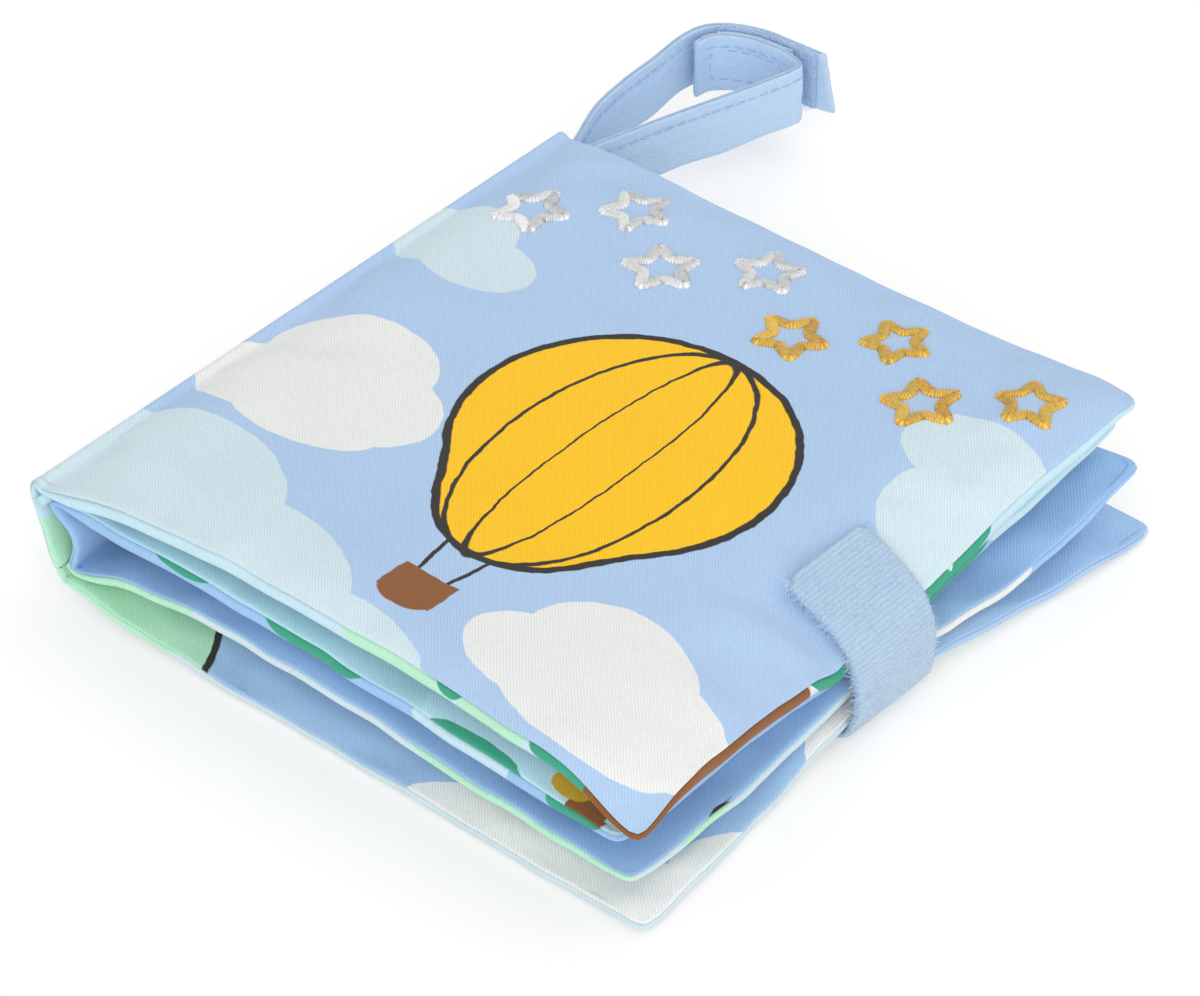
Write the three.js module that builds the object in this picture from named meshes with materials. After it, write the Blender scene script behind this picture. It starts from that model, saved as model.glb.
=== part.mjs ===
// Crinkle cloth book, closed and lying on its back cover. Lengths are in millimetres.
// X runs from the spine to the fore edge, Y from the tail to the head, Z up.
// The origin is the middle of the back cover's underside, on the surface that it lies on.
import * as THREE from 'three';

// The book as it lies
const bookWidth = 152;
const bookLength = 160;
const upperSeamHeight = 27;
const lowerSeamHeight = 7;
const upperSeamOverhang = 3.5;
const lowerSeamInset = 1.5;

// How much smaller the inner sheet is, and where it hangs inside the spine
const innerSheetInset = 1.5;
const innerSheetDrop = 2.8;
const innerSheetStep = 1.9;
const leafOneShortening = 5.5;
const leafTwoShortening = 2.5;
const backCoverLengthening = 2;

// Cloth and filling, and the room that sewn pieces leave each other
const clothThickness = 0.7;
const filmThickness = 0.35;
const waddingThickness = 2.8;
const fillingInset = 10;
const sewnGap = 0.3;
const seamRadius = 1.2;
const seamRun = 14;
const seamSpread = 3.2;

// How the edges of a leaf run
const cornerRounding = 0.8;
const cornerSharpness = 12;
const coverCornerDroop = 1.8;
const coverDip = 9.5;
const dipSharpness = 12;
const edgeHollow = 1.2;
const hollowSharpness = 6;
const coverSkew = 2.5;
const leafTwoSkew = -3.3;
const backCoverSkew = -2;
const coverPull = 4.45;
const leafTwoPull = 3.8;
const backCoverPull = 7.3;
const pullSharpness = 5;
const pullNarrowing = 1.5;

const bookGroup = new THREE.Group();
bookGroup.name = 'crinkle_cloth_book';

function addPiece(name, geometry, material) {
  const piece = new THREE.Mesh(geometry, material);
  piece.name = name;
  bookGroup.add(piece);
}

function clothFinish(color, roughness = 0.9) {
  return new THREE.MeshStandardMaterial({ color, roughness, metalness: 0 });
}

const skyPrint = clothFinish('#a8c6ec');
const meadowPrint = clothFinish('#b4e6c6');
const palePrint = clothFinish('#cfe2e8');
const deepBluePrint = clothFinish('#90b4e6');
const whiteWadding = clothFinish('#f4f4f0', 1);
const crinkleFilm = clothFinish('#dfe6ea', 0.3);
const loopTape = clothFinish('#aecbe6', 1);
const hookTape = clothFinish('#dfe7f0', 0.7);
const silverThread = clothFinish('#e3e3de', 0.4);
const goldThread = clothFinish('#e5ae35', 0.4);

// Seams that the leaves and the spine turn about, as places in the plane across the spine
const lowerSeam = new THREE.Vector2(lowerSeamInset - bookWidth / 2, lowerSeamHeight);
const upperSeam = new THREE.Vector2(-bookWidth / 2 - upperSeamOverhang, upperSeamHeight);
const innerUpperSeam = new THREE.Vector2(upperSeam.x + innerSheetStep, upperSeam.y - innerSheetDrop);

// Grid lines of a leaf, closer together towards its edges
const gridCells = 12;
const crowdingShare = 0.55;
const gridLines = Array.from({ length: gridCells + 1 }, (_, k) => {
  const evenly = k / gridCells;
  return evenly - (crowdingShare * Math.sin(2 * Math.PI * evenly)) / (2 * Math.PI);
});

function splineThrough(values, t) {
  return new THREE.SplineCurve(values.map((value, k) => new THREE.Vector2(k, value))).getPoint(t).y;
}

function smoothRise(distance, reach) {
  return THREE.MathUtils.smoothstep(distance, 0, reach);
}

// A padded leaf between its lower and upper face. Its middle rises from the seam by shares of the
// upper seam's height, in rows from tail to head, each row from the spine to the fore edge.
function makeLeaf({
  seam, rootReach, rootRise, spread, length, foreEdge, skew = 0, pull = edgeHollow, dip = 0, droop = 0,
  riseShares,
}) {
  const width = foreEdge - seam.x - rootReach;
  const lower = [];
  const upper = [];
  for (const v of gridLines) {
    const lowerRow = [];
    const upperRow = [];
    const side = 2 * v - 1;
    for (const u of gridLines) {
      const cornerShare = (u * Math.abs(side)) ** cornerSharpness;
      const rounding = cornerRounding * cornerShare;
      const hollow = edgeHollow * 4 * u * (1 - u) * Math.abs(side) ** hollowSharpness;
      const pullShare = (1 - side * side) ** pullNarrowing;
      const foreHollow = pull * u ** pullSharpness * pullShare;
      const sinking = dip * u ** dipSharpness * pullShare + droop * cornerShare;
      const x = seam.x + rootReach + width * u - skew * u * v - foreHollow - rounding;
      const y = (side * length) / 2 - Math.sign(side) * (rounding + hollow);
      const alongRow = riseShares.map((row) => splineThrough([0, ...row], u));
      const middle = seam.y + rootRise + spread * smoothRise(u * width, seamRun)
        + upperSeamHeight * splineThrough(alongRow, v) - sinking;
      const inside = [u * width, (1 - u) * width, v * length, (1 - v) * length]
        .reduce((product, distance) => product * smoothRise(distance, fillingInset), 1);
      const crown = Math.sqrt(16 * u * (1 - u) * v * (1 - v));
      const thickness = 2 * clothThickness + sewnGap
        + (2 * sewnGap + filmThickness) * inside + waddingThickness * crown;
      const bottom = Math.max(0, middle - thickness / 2);
      lowerRow.push(new THREE.Vector3(x, y, bottom));
      upperRow.push(new THREE.Vector3(x, y, bottom + thickness));
    }
    lower.push(lowerRow);
    upper.push(upperRow);
  }
  const filled = (size) => gridLines.filter((line) => Math.min(line, 1 - line) * size >= fillingInset);
  const range = (lines) => [gridLines.indexOf(lines[0]), gridLines.indexOf(lines.at(-1))];
  return { lower, upper, filledAcross: range(filled(width)), filledAlong: range(filled(length)) };
}

// One closed body of a layer of a leaf, from one height over a face to another
function layerSolid(leaf, fromFace, fromOffset, toFace, toOffset, isFilling = false) {
  const [firstRow, lastRow] = isFilling ? leaf.filledAlong : [0, gridCells];
  const [firstColumn, lastColumn] = isFilling ? leaf.filledAcross : [0, gridCells];
  const rows = lastRow - firstRow + 1;
  const columns = lastColumn - firstColumn + 1;
  const positions = [];
  for (const [face, offset] of [[fromFace, fromOffset], [toFace, toOffset]]) {
    for (let i = firstRow; i <= lastRow; i += 1) {
      for (let j = firstColumn; j <= lastColumn; j += 1) {
        const point = leaf[face][i][j];
        positions.push(point.x, point.y, point.z + offset);
      }
    }
  }
  const low = ([i, j]) => i * columns + j;
  const high = ([i, j]) => (rows + i) * columns + j;
  const index = [];
  const addSide = (a, b) => {
    index.push(low(a), low(b), high(b), low(a), high(b), high(a));
  };
  for (let i = 0; i < rows - 1; i += 1) {
    for (let j = 0; j < columns - 1; j += 1) {
      const corners = [[i, j], [i, j + 1], [i + 1, j + 1], [i + 1, j]];
      const [a, b, c, d] = corners.map(high);
      index.push(a, b, c, a, c, d);
      const [e, f, g, h] = corners.map(low);
      index.push(e, g, f, e, h, g);
    }
    addSide([i + 1, 0], [i, 0]);
    addSide([i, columns - 1], [i + 1, columns - 1]);
  }
  for (let j = 0; j < columns - 1; j += 1) {
    addSide([0, j], [0, j + 1]);
    addSide([rows - 1, j + 1], [rows - 1, j]);
  }
  const geometry = new THREE.BufferGeometry();
  geometry.setAttribute('position', new THREE.Float32BufferAttribute(positions, 3));
  geometry.setIndex(index);
  return geometry;
}

// The four pieces of a leaf: two cloth panels with a film and a layer of wadding between them
function addLeafPieces(leaf, lowerName, lowerFinish, upperName, upperFinish, fillingName) {
  const filmBase = clothThickness + sewnGap;
  const waddingBase = filmBase + filmThickness + sewnGap;
  addPiece(lowerName, layerSolid(leaf, 'lower', 0, 'lower', clothThickness), lowerFinish);
  addPiece(upperName, layerSolid(leaf, 'upper', -clothThickness, 'upper', 0), upperFinish);
  addPiece(
    `${fillingName}_crinkle_film`,
    layerSolid(leaf, 'lower', filmBase, 'lower', filmBase + filmThickness, true),
    crinkleFilm,
  );
  addPiece(
    `${fillingName}_wadding`,
    layerSolid(leaf, 'lower', waddingBase, 'upper', -clothThickness - sewnGap, true),
    whiteWadding,
  );
}

const frontCover = makeLeaf({
  seam: upperSeam,
  rootReach: seamRadius,
  rootRise: 0,
  spread: seamSpread / 2,
  length: bookLength,
  foreEdge: bookWidth / 2 + edgeHollow / 2,
  skew: coverSkew,
  pull: coverPull,
  dip: coverDip,
  droop: coverCornerDroop,
  riseShares: [
    [0.19, 0.21, 0.16, -0.03],
    [0.09, 0.09, 0.06, 0.06],
    [0.06, 0.06, 0.05, 0.04],
    [0.04, 0.04, 0.04, 0.19],
    [0.03, 0.02, 0.04, 0.17],
  ],
});
addLeafPieces(
  frontCover, 'front_cover_inner_panel', meadowPrint, 'front_cover_outer_panel', skyPrint, 'front_cover',
);

const leafOne = makeLeaf({
  seam: innerUpperSeam,
  rootReach: seamRadius,
  rootRise: 0,
  spread: 0,
  length: bookLength - 2 * innerSheetInset,
  foreEdge: bookWidth / 2 - leafOneShortening,
  riseShares: [
    [-0.03, -0.05, -0.13, -0.19],
    [-0.07, -0.10, -0.14, -0.21],
    [-0.10, -0.13, -0.16, -0.25],
    [-0.10, -0.13, -0.14, -0.15],
    [-0.06, -0.10, -0.11, -0.07],
  ],
});
addLeafPieces(leafOne, 'leaf_1_lower_panel', deepBluePrint, 'leaf_1_upper_panel', palePrint, 'leaf_1');

// The inner sheet's second leaf starts further out, over the back cover's sewn edge
const leafTwoRootReach = 2 * seamRadius;
const leafTwo = makeLeaf({
  seam: lowerSeam,
  rootReach: leafTwoRootReach,
  rootRise: leafTwoRootReach / 2,
  spread: seamSpread,
  length: bookLength - 2 * innerSheetInset,
  foreEdge: bookWidth / 2 - leafTwoShortening,
  skew: leafTwoSkew,
  pull: leafTwoPull,
  riseShares: [
    [0.12, 0.10, 0.00, -0.06],
    [0.08, 0.06, 0.01, -0.08],
    [0.06, 0.04, 0.02, 0.04],
    [0.06, 0.04, 0.00, -0.09],
    [0.08, 0.06, 0.06, 0.27],
  ],
});
addLeafPieces(leafTwo, 'leaf_2_lower_panel', meadowPrint, 'leaf_2_upper_panel', deepBluePrint, 'leaf_2');

const backCover = makeLeaf({
  seam: lowerSeam,
  rootReach: seamRadius,
  rootRise: -seamRadius / 2,
  spread: -seamSpread / 2,
  length: bookLength,
  foreEdge: bookWidth / 2 + backCoverLengthening,
  skew: backCoverSkew,
  pull: backCoverPull,
  riseShares: [
    [-0.09, -0.11, -0.12, -0.11],
    [-0.09, -0.12, -0.12, -0.09],
    [-0.09, -0.12, -0.10, 0.07],
    [-0.09, -0.12, -0.12, -0.09],
    [-0.09, -0.11, -0.12, -0.07],
  ],
});
addLeafPieces(
  backCover, 'back_cover_outer_panel', palePrint, 'back_cover_inner_panel', meadowPrint, 'back_cover',
);

// The outline of a strip of cloth beside a curve, from one step along the curve to another.
// A strip with a taper starts thin, so that it can turn about its sewn end.
function stripShape(curve, { thickness, steps, offset = 0, firstStep = 0, lastStep = steps, taper = 0 }) {
  const near = [];
  const far = [];
  const curveLength = curve.getLength();
  for (let k = firstStep; k <= lastStep; k += 1) {
    const share = k / steps;
    const tangent = curve.getTangentAt(share);
    const normal = new THREE.Vector2(-tangent.y, tangent.x);
    const centre = curve.getPointAt(share).addScaledVector(normal, offset);
    const travelled = share * curveLength;
    const half = travelled < taper
      ? THREE.MathUtils.mapLinear(travelled, 0, taper, sewnGap, thickness) / 2
      : thickness / 2;
    near.push(centre.clone().addScaledVector(normal, half));
    far.push(centre.clone().addScaledVector(normal, -half));
  }
  return new THREE.Shape([...near, ...far.reverse()]);
}

// A strip whose outline lies in the plane across the spine and that runs along the book
function stripAlongBook(curve, length, options) {
  const shape = stripShape(curve, options);
  const geometry = new THREE.ExtrudeGeometry(shape, { depth: length, bevelEnabled: false });
  geometry.rotateX(Math.PI / 2);
  geometry.translate(0, length / 2, 0);
  return geometry;
}

// A line from one seam to another, bowed to its left by shares of its length
function bowedLine(start, end, places) {
  const way = end.clone().sub(start);
  const leftward = new THREE.Vector2(-way.y, way.x);
  return new THREE.SplineCurve(places.map(([alongShare, bowShare]) => start.clone()
    .addScaledVector(way, alongShare)
    .addScaledVector(leftward, bowShare)));
}

// The spine: the outer sheet's two panels outside, the inner sheet's two panels bowed in behind them
const spineLine = bowedLine(lowerSeam, upperSeam, [
  [0.045, 0.045], [0.25, 0.09], [0.5, 0.10], [0.75, 0.07], [0.935, 0],
]);
const pageSpineLine = bowedLine(lowerSeam, innerUpperSeam, [
  [0.13, -0.06], [0.35, -0.14], [0.6, -0.12], [0.8, -0.04], [0.925, 0],
]);
const layerOffset = (clothThickness + sewnGap) / 2;
const spineSteps = 10;
const spineLayer = { thickness: clothThickness, steps: spineSteps };
const spineLayers = [
  ['spine_outer_panel', spineLine, bookLength, layerOffset, skyPrint],
  ['spine_lining_panel', spineLine, bookLength, -layerOffset, meadowPrint],
  ['page_spine_outer_panel', pageSpineLine, bookLength - 2 * innerSheetInset, layerOffset, palePrint],
  ['page_spine_inner_panel', pageSpineLine, bookLength - 2 * innerSheetInset, -layerOffset, deepBluePrint],
];
for (const [name, line, length, offset, finish] of spineLayers) {
  addPiece(name, stripAlongBook(line, length, { ...spineLayer, offset }), finish);
}

// The height of a leaf's upper face at a place in plan, on its facets
function heightOn(leaf, x, y) {
  const place = new THREE.Vector3(x, y, 0);
  const flat = (point) => new THREE.Vector3(point.x, point.y, 0);
  for (let i = 0; i < gridCells; i += 1) {
    for (let j = 0; j < gridCells; j += 1) {
      const [a, b, c, d] = [[i, j], [i, j + 1], [i + 1, j + 1], [i + 1, j]].map(([p, q]) => leaf.upper[p][q]);
      for (const [p, q, r] of [[a, b, c], [a, c, d]]) {
        const facet = new THREE.Triangle(flat(p), flat(q), flat(r));
        if (facet.containsPoint(place)) {
          const part = facet.getBarycoord(place, new THREE.Vector3());
          return p.z * part.x + q.z * part.y + r.z * part.z;
        }
      }
    }
  }
  return upperSeamHeight;
}

// A flat piece laid on the front cover, following its face
function laidOnCover(geometry) {
  const position = geometry.getAttribute('position');
  for (let k = 0; k < position.count; k += 1) {
    const height = heightOn(frontCover, position.getX(k), position.getY(k));
    position.setZ(k, position.getZ(k) + height + sewnGap);
  }
  return geometry;
}

// The closing tab: loop-pile tape from the back cover's fore edge to a patch on the front cover
const tabThickness = 1.8;
const tabWidth = 23.5;
const tabLap = 20;
const tabEnd = bookWidth / 2 - tabLap;
const tabFootDrop = 1.5;
const tabSteps = 20;
const patchThickness = 0.6;
const coverPatchLength = 12;
const coverPatchWidth = 18;
const coverPatchSteps = 8;

const middleRow = gridCells / 2;
const [backEdge, nextBackEdge] = [0, 1].map((step) => backCover.upper[middleRow + step][gridCells]);
const tabSideShare = tabWidth / 2 / nextBackEdge.y;
const tabFoot = new THREE.Vector2(
  THREE.MathUtils.lerp(backEdge.x, nextBackEdge.x, tabSideShare) + sewnGap + tabThickness / 2,
  backEdge.z - tabFootDrop,
);
const tabLaying = sewnGap + patchThickness + sewnGap + tabThickness / 2;
const tabHeightAt = (x) => tabLaying
  + Math.max(...[-1, 0, 1].map((side) => heightOn(frontCover, x, (side * tabWidth) / 2)));
const tabShoulderEnd = tabEnd + coverPatchLength;
const tabShoulderShares = [[0, 0], [-0.05, 0.2], [-0.05, 0.4], [0.04, 0.6], [0.16, 0.78], [0.42, 0.95]];
const tabLapShares = [1, 0.5, 0];
const tabCurve = new THREE.SplineCurve([
  ...tabShoulderShares.map(([inShare, upShare]) => new THREE.Vector2(
    THREE.MathUtils.lerp(tabFoot.x, tabShoulderEnd, inShare),
    THREE.MathUtils.lerp(tabFoot.y, tabHeightAt(tabShoulderEnd), upShare),
  )),
  ...tabLapShares.map((share) => tabEnd + coverPatchLength * share)
    .map((x) => new THREE.Vector2(x, tabHeightAt(x))),
]);
const tab = { thickness: tabThickness, steps: tabSteps };
addPiece('closure_tab', stripAlongBook(tabCurve, tabWidth, tab), loopTape);

// The hook patch lies as far from the tab's end as from its sides
const coverPatch = new THREE.BoxGeometry(
  coverPatchLength, coverPatchWidth, patchThickness, coverPatchSteps, coverPatchSteps, 1,
);
const coverPatchStart = tabEnd + (tabWidth - coverPatchWidth) / 2;
coverPatch.translate(coverPatchStart + coverPatchLength / 2, 0, patchThickness / 2);
addPiece('cover_hook_patch', laidOnCover(coverPatch), hookTape);

// The hanging strap: two straps on edge, sewn into the head of the spine, that close into a loop
const strapReach = 66;
const strapThickness = 1.6;
const strapWidth = 13.6;
const strapTaper = 4;
const strapSteps = 40;
const strapRootGap = 0.8;
const loopPatchReach = { firstStep: 27, lastStep: 39 };
const hookPatchReach = { firstStep: 30, lastStep: 38 };
const strapBottom = (lowerSeamHeight + upperSeamHeight - strapWidth) / 2;
const strapRoot = new THREE.Vector2(
  (lowerSeam.x + upperSeam.x) / 2 - clothThickness,
  bookLength / 2 + strapRootGap,
);
const strapPitch = strapThickness + 2 * (patchThickness + 2 * sewnGap);
const fromRoot = ([x, y]) => strapRoot.clone().add(new THREE.Vector2(x, y).multiplyScalar(strapReach));

const outerStrapShares = [
  [-0.012, 0], [-0.045, 0.08], [-0.11, 0.25], [-0.138, 0.43], [-0.146, 0.58], [-0.16, 0.74], [-0.145, 0.84],
  [-0.08, 0.91], [0.03, 0.955], [0.15, 0.965], [0.25, 0.97], [0.33, 0.985],
];
const outerStrap = new THREE.SplineCurve(outerStrapShares.map(fromRoot));
const besideOuterStrap = (share) => {
  const tangent = outerStrap.getTangentAt(share);
  return outerStrap.getPointAt(share).addScaledVector(new THREE.Vector2(tangent.y, -tangent.x), strapPitch);
};
const innerStrapShares = [
  [0.012, 0], [0.035, 0.09], [0.072, 0.223], [0.125, 0.407], [0.182, 0.587], [0.228, 0.739],
  [0.25, 0.83], [0.245, 0.88],
];
const returnShares = [0.895, 0.86, 0.82, 0.78, 0.74, 0.70, 0.66, 0.62, 0.58];
const innerStrap = new THREE.SplineCurve([
  ...innerStrapShares.map(fromRoot),
  ...returnShares.map(besideOuterStrap),
]);

// A strip whose outline lies in plan and that stands on its edge
function stripOnEdge(curve, options) {
  const shape = stripShape(curve, options);
  const geometry = new THREE.ExtrudeGeometry(shape, { depth: strapWidth, bevelEnabled: false });
  geometry.translate(0, 0, strapBottom);
  return geometry;
}

const strap = { thickness: strapThickness, steps: strapSteps, taper: strapTaper };
addPiece('strap_outer', stripOnEdge(outerStrap, strap), skyPrint);
addPiece('strap_inner', stripOnEdge(innerStrap, strap), skyPrint);
const patch = {
  thickness: patchThickness,
  steps: strapSteps,
  offset: -(strapThickness + patchThickness) / 2 - sewnGap,
};
addPiece('strap_loop_patch', stripOnEdge(outerStrap, { ...patch, ...loopPatchReach }), loopTape);
addPiece('strap_hook_patch', stripOnEdge(innerStrap, { ...patch, ...hookPatchReach }), hookTape);

// Satin-stitched stars on the front cover, each an open star of one stitched line. Their places
// are shares of the cover's width and length, their sizes shares of the largest star's radius.
const starRadius = 10;
const starThickness = 0.8;
const starStrokeShare = 0.46;
const starWaistShare = 0.52;
const starPoints = 5;
const silverStarShares = [[-0.41, 0.31, 1], [-0.295, 0.395, 0.94], [-0.18, 0.315, 1], [-0.065, 0.40, 0.92]];
const goldStarShares = [[0.05, 0.31, 0.96], [0.165, 0.39, 0.9], [0.275, 0.305, 1], [0.39, 0.385, 0.88]];

function starOutline(path, x, y, radius, turn) {
  for (let k = 0; k < 2 * starPoints; k += 1) {
    const reach = k % 2 === 0 ? radius : radius * starWaistShare;
    const angle = turn + (Math.PI * k) / starPoints;
    const point = [x + reach * Math.cos(angle), y + reach * Math.sin(angle)];
    if (k === 0) {
      path.moveTo(...point);
    } else {
      path.lineTo(...point);
    }
  }
  path.closePath();
  return path;
}

function addStars(name, starShares, finish) {
  starShares.forEach(([acrossShare, alongShare, radiusShare], k) => {
    const place = [acrossShare * bookWidth, alongShare * bookLength];
    const radius = radiusShare * starRadius;
    const turn = Math.PI / 2 + k;
    const star = starOutline(new THREE.Shape(), ...place, radius, turn);
    star.holes.push(starOutline(new THREE.Path(), ...place, radius * starStrokeShare, turn));
    const stitched = new THREE.ExtrudeGeometry(star, { depth: starThickness, bevelEnabled: false });
    addPiece(`${name}_${k + 1}`, laidOnCover(stitched), finish);
  });
}

addStars('silver_star', silverStarShares, silverThread);
addStars('gold_star', goldStarShares, goldThread);

export default bookGroup;
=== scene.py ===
import math
import bpy
import numpy as np
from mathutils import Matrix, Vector, noise


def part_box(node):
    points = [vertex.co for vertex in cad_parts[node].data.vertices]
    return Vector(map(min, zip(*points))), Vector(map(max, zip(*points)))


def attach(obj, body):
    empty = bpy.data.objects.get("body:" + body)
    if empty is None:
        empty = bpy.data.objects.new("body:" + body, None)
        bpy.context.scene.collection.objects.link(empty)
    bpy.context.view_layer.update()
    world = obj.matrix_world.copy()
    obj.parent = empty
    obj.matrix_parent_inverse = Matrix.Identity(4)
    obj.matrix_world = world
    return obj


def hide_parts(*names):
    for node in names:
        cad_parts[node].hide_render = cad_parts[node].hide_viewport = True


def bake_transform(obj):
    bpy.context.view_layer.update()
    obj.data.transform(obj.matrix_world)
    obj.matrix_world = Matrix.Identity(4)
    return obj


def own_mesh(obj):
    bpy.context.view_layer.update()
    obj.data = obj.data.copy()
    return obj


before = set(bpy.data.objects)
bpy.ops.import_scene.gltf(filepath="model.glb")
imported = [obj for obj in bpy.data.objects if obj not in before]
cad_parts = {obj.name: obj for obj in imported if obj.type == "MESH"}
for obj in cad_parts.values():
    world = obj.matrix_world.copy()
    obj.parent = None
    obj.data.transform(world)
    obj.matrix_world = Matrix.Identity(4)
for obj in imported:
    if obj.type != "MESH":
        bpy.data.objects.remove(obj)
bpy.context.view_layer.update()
MM = 0.001


# The camera stands where the photographer stood: a long lens, a bit over a metre away,
# towards the corner where the tail and the fore edge of the book meet.
def mm(x, y, z):
    return Vector((x, y, z)) * MM


lens_place = mm(560.2, -658.4, 703.1)
lens_aim = mm(-14.8, 16.1, 0)
camera = bpy.data.objects.new("camera", bpy.data.cameras.new("camera"))
camera.data.sensor_width = 36
camera.data.lens = 165.1
camera.data.clip_end = 20
camera.location = lens_place
camera.rotation_euler = (lens_aim - lens_place).to_track_quat("-Z", "Y").to_euler()
bpy.context.scene.collection.objects.link(camera)
bpy.context.scene.camera = camera


# The table is a white sheet of card that runs out of view, in a white room. One very large soft box
# hangs over the head of the book, and a second one stands low beside the camera.
def linear(hex_colour):
    parts = [int(hex_colour[k:k + 2], 16) / 255 for k in (1, 3, 5)]
    return [c / 12.92 if c <= 0.04045 else ((c + 0.055) / 1.055) ** 2.4 for c in parts] + [1]


def add_node(tree, kind, settings=None, inputs=None, output=0):
    node = tree.nodes.new(kind)
    for name, value in (settings or {}).items():
        setattr(node, name, value)
    for name, value in (inputs or {}).items():
        socket = node.inputs[name]
        if isinstance(value, bpy.types.NodeSocket):
            tree.links.new(value, socket)
        else:
            socket.default_value = value
    return node.outputs[output] if node.outputs else node


def new_material(name):
    material = bpy.data.materials.new(name)
    material.use_nodes = True
    tree = material.node_tree
    tree.nodes.clear()
    return material, tree


def seen_by_eye(tree):
    """1 for what the camera sees, also by way of gloss or glass, and 0 for what lights the object."""
    rays = add_node(tree, "ShaderNodeLightPath").node.outputs
    seen = add_node(tree, "ShaderNodeMath", {"operation": "MAXIMUM", "use_clamp": True},
                    {0: rays["Is Camera Ray"], 1: rays["Is Glossy Ray"]})
    return add_node(tree, "ShaderNodeMath", {"operation": "MAXIMUM", "use_clamp": True},
                    {0: seen, 1: rays["Is Transmission Ray"]})


# Matt card: white by itself, with the object's shadow kept on it, a third paler than it falls
shadow_fading = 0.34
card_glow = 1.14
card, tree = new_material("white_card_matt")
fading = add_node(tree, "ShaderNodeMath", {"operation": "MULTIPLY"}, {0: seen_by_eye(tree), 1: shadow_fading})
paper = add_node(tree, "ShaderNodeBsdfDiffuse", inputs={"Color": linear("#FFFEFA")})
glow = add_node(tree, "ShaderNodeEmission", inputs={"Color": linear("#FFFFFF"), "Strength": card_glow})
surface = add_node(tree, "ShaderNodeMixShader", inputs={0: fading, 1: paper, 2: glow})
add_node(tree, "ShaderNodeOutputMaterial", inputs={"Surface": surface})

# The card ends far out of view, and lies a hair below the cloth
table_half = 3000
table_drop = 0.2
table_mesh = bpy.data.meshes.new("table_card")
table_mesh.from_pydata([mm(x * table_half, y * table_half, -table_drop)
                        for x, y in ((-1, -1), (1, -1), (1, 1), (-1, 1))], [], [(0, 1, 2, 3)])
table_mesh.materials.append(card)
table = bpy.data.objects.new("table_card", table_mesh)
bpy.context.scene.collection.objects.link(table)

# The room gives the object a dimmer light than the white that the camera sees
room_light = 0.72
backdrop_light = 1.0
world = bpy.data.worlds.new("white_room")
world.use_nodes = True
tree = world.node_tree
tree.nodes.clear()
room = add_node(tree, "ShaderNodeBackground", inputs={"Color": linear("#FDFDFF"), "Strength": room_light})
backdrop = add_node(tree, "ShaderNodeBackground",
                    inputs={"Color": linear("#FFFFFF"), "Strength": backdrop_light})
surface = add_node(tree, "ShaderNodeMixShader", inputs={0: seen_by_eye(tree), 1: room, 2: backdrop})
add_node(tree, "ShaderNodeOutputWorld", inputs={"Surface": surface})
bpy.context.scene.world = world

for light_name, way, energy, spread in (("high_soft_box", (0.15, 0.55, 1), 0.45, 50),
                                        ("low_soft_box", (0.56, -0.64, 0.48), 1.25, 60)):
    soft_box = bpy.data.objects.new(light_name, bpy.data.lights.new(light_name, "SUN"))
    soft_box.data.energy = energy
    soft_box.data.angle = math.radians(spread)
    soft_box.rotation_euler = Vector(way).to_track_quat("Z", "Y").to_euler()
    bpy.context.scene.collection.objects.link(soft_box)
bpy.context.scene.view_settings.view_transform = "Standard"


# The four leaves are pairs of printed cloth panels, sewn face to face round three sides, turned and
# filled. Two such pairs make the outer sheet, with the covers, and two the inner sheet, with the
# pages. Both sheets are folded round the spine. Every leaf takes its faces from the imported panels.
grid_cells = 12
crowding = 0.55
cloth_step = 3.2
rim_reach = 1.0
fold_step = 1.3
fold_thickness = 1.9
rim_growth = 9
corner_growth = 28
corner_start = 5
seam_drop = 0.22
edge_wave_reach = 16
still_reach = 30
side_waves = (38, 1.0), (11, 0.6)
fore_waves = (36, 0.9), (11, 0.6)
upright_reach = 12
table_gap = 0.12
cloth_gauge = 0.45
cloth_excess = 0.03
swelling_frames = 20
padding_gap = 0.3


def smooth(value):
    t = np.clip(value, 0, 1)
    return t * t * (3 - 2 * t)


def packed_grid(node, highest):
    """One face of a packed panel, as rows from tail to head, in mm."""
    corners = {}
    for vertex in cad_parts[node].data.vertices:
        x, y, z = vertex.co / MM
        key = (round(x, 2), round(y, 2))
        known = corners.get(key)
        if known is None or (z > known) == highest:
            corners[key] = z
    points = sorted(([x, y, z] for (x, y), z in corners.items()), key=lambda p: p[1])
    size = grid_cells + 1
    rows = [sorted(points[k * size:(k + 1) * size]) for k in range(size)]
    return np.array(rows)


def through(knots, places):
    """Smooth curves through knots, at places counted in knots, along the first axis."""
    first = 2 * knots[0] - knots[1]
    last = 2 * knots[-1] - knots[-2]
    padded = np.concatenate([first[None], knots, last[None]])
    k = np.clip(np.floor(places).astype(int), 0, len(knots) - 2)
    t = (places - k).reshape((-1,) + (1,) * (knots.ndim - 1))
    a, b, c, d = (padded[k + shift] for shift in range(4))
    return b + t * (c - a) / 2 + t * t * (a - 2.5 * b + 2 * c - d / 2) + t ** 3 * (
        1.5 * (b - c) + (d - a) / 2)


def grid_places(size, start, end):
    """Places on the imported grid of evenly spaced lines, from one length to another."""
    count = round((end - start) / cloth_step)
    shares = np.linspace(start, end, count + 1) / size
    dense = np.linspace(0, grid_cells, 40 * grid_cells + 1)
    evenly = dense / grid_cells
    lines = evenly - crowding * np.sin(2 * math.pi * evenly) / (2 * math.pi)
    return np.interp(shares, lines, dense)


def lengths_along(line):
    """How far along a line each of its points is."""
    return np.concatenate([[0], np.cumsum(np.linalg.norm(np.diff(line, axis=0), axis=1))])


def picked(places, travelled, line):
    """The points of a line at these lengths along it."""
    return np.stack([np.interp(places, travelled, column) for column in line.T], axis=-1)


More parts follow.
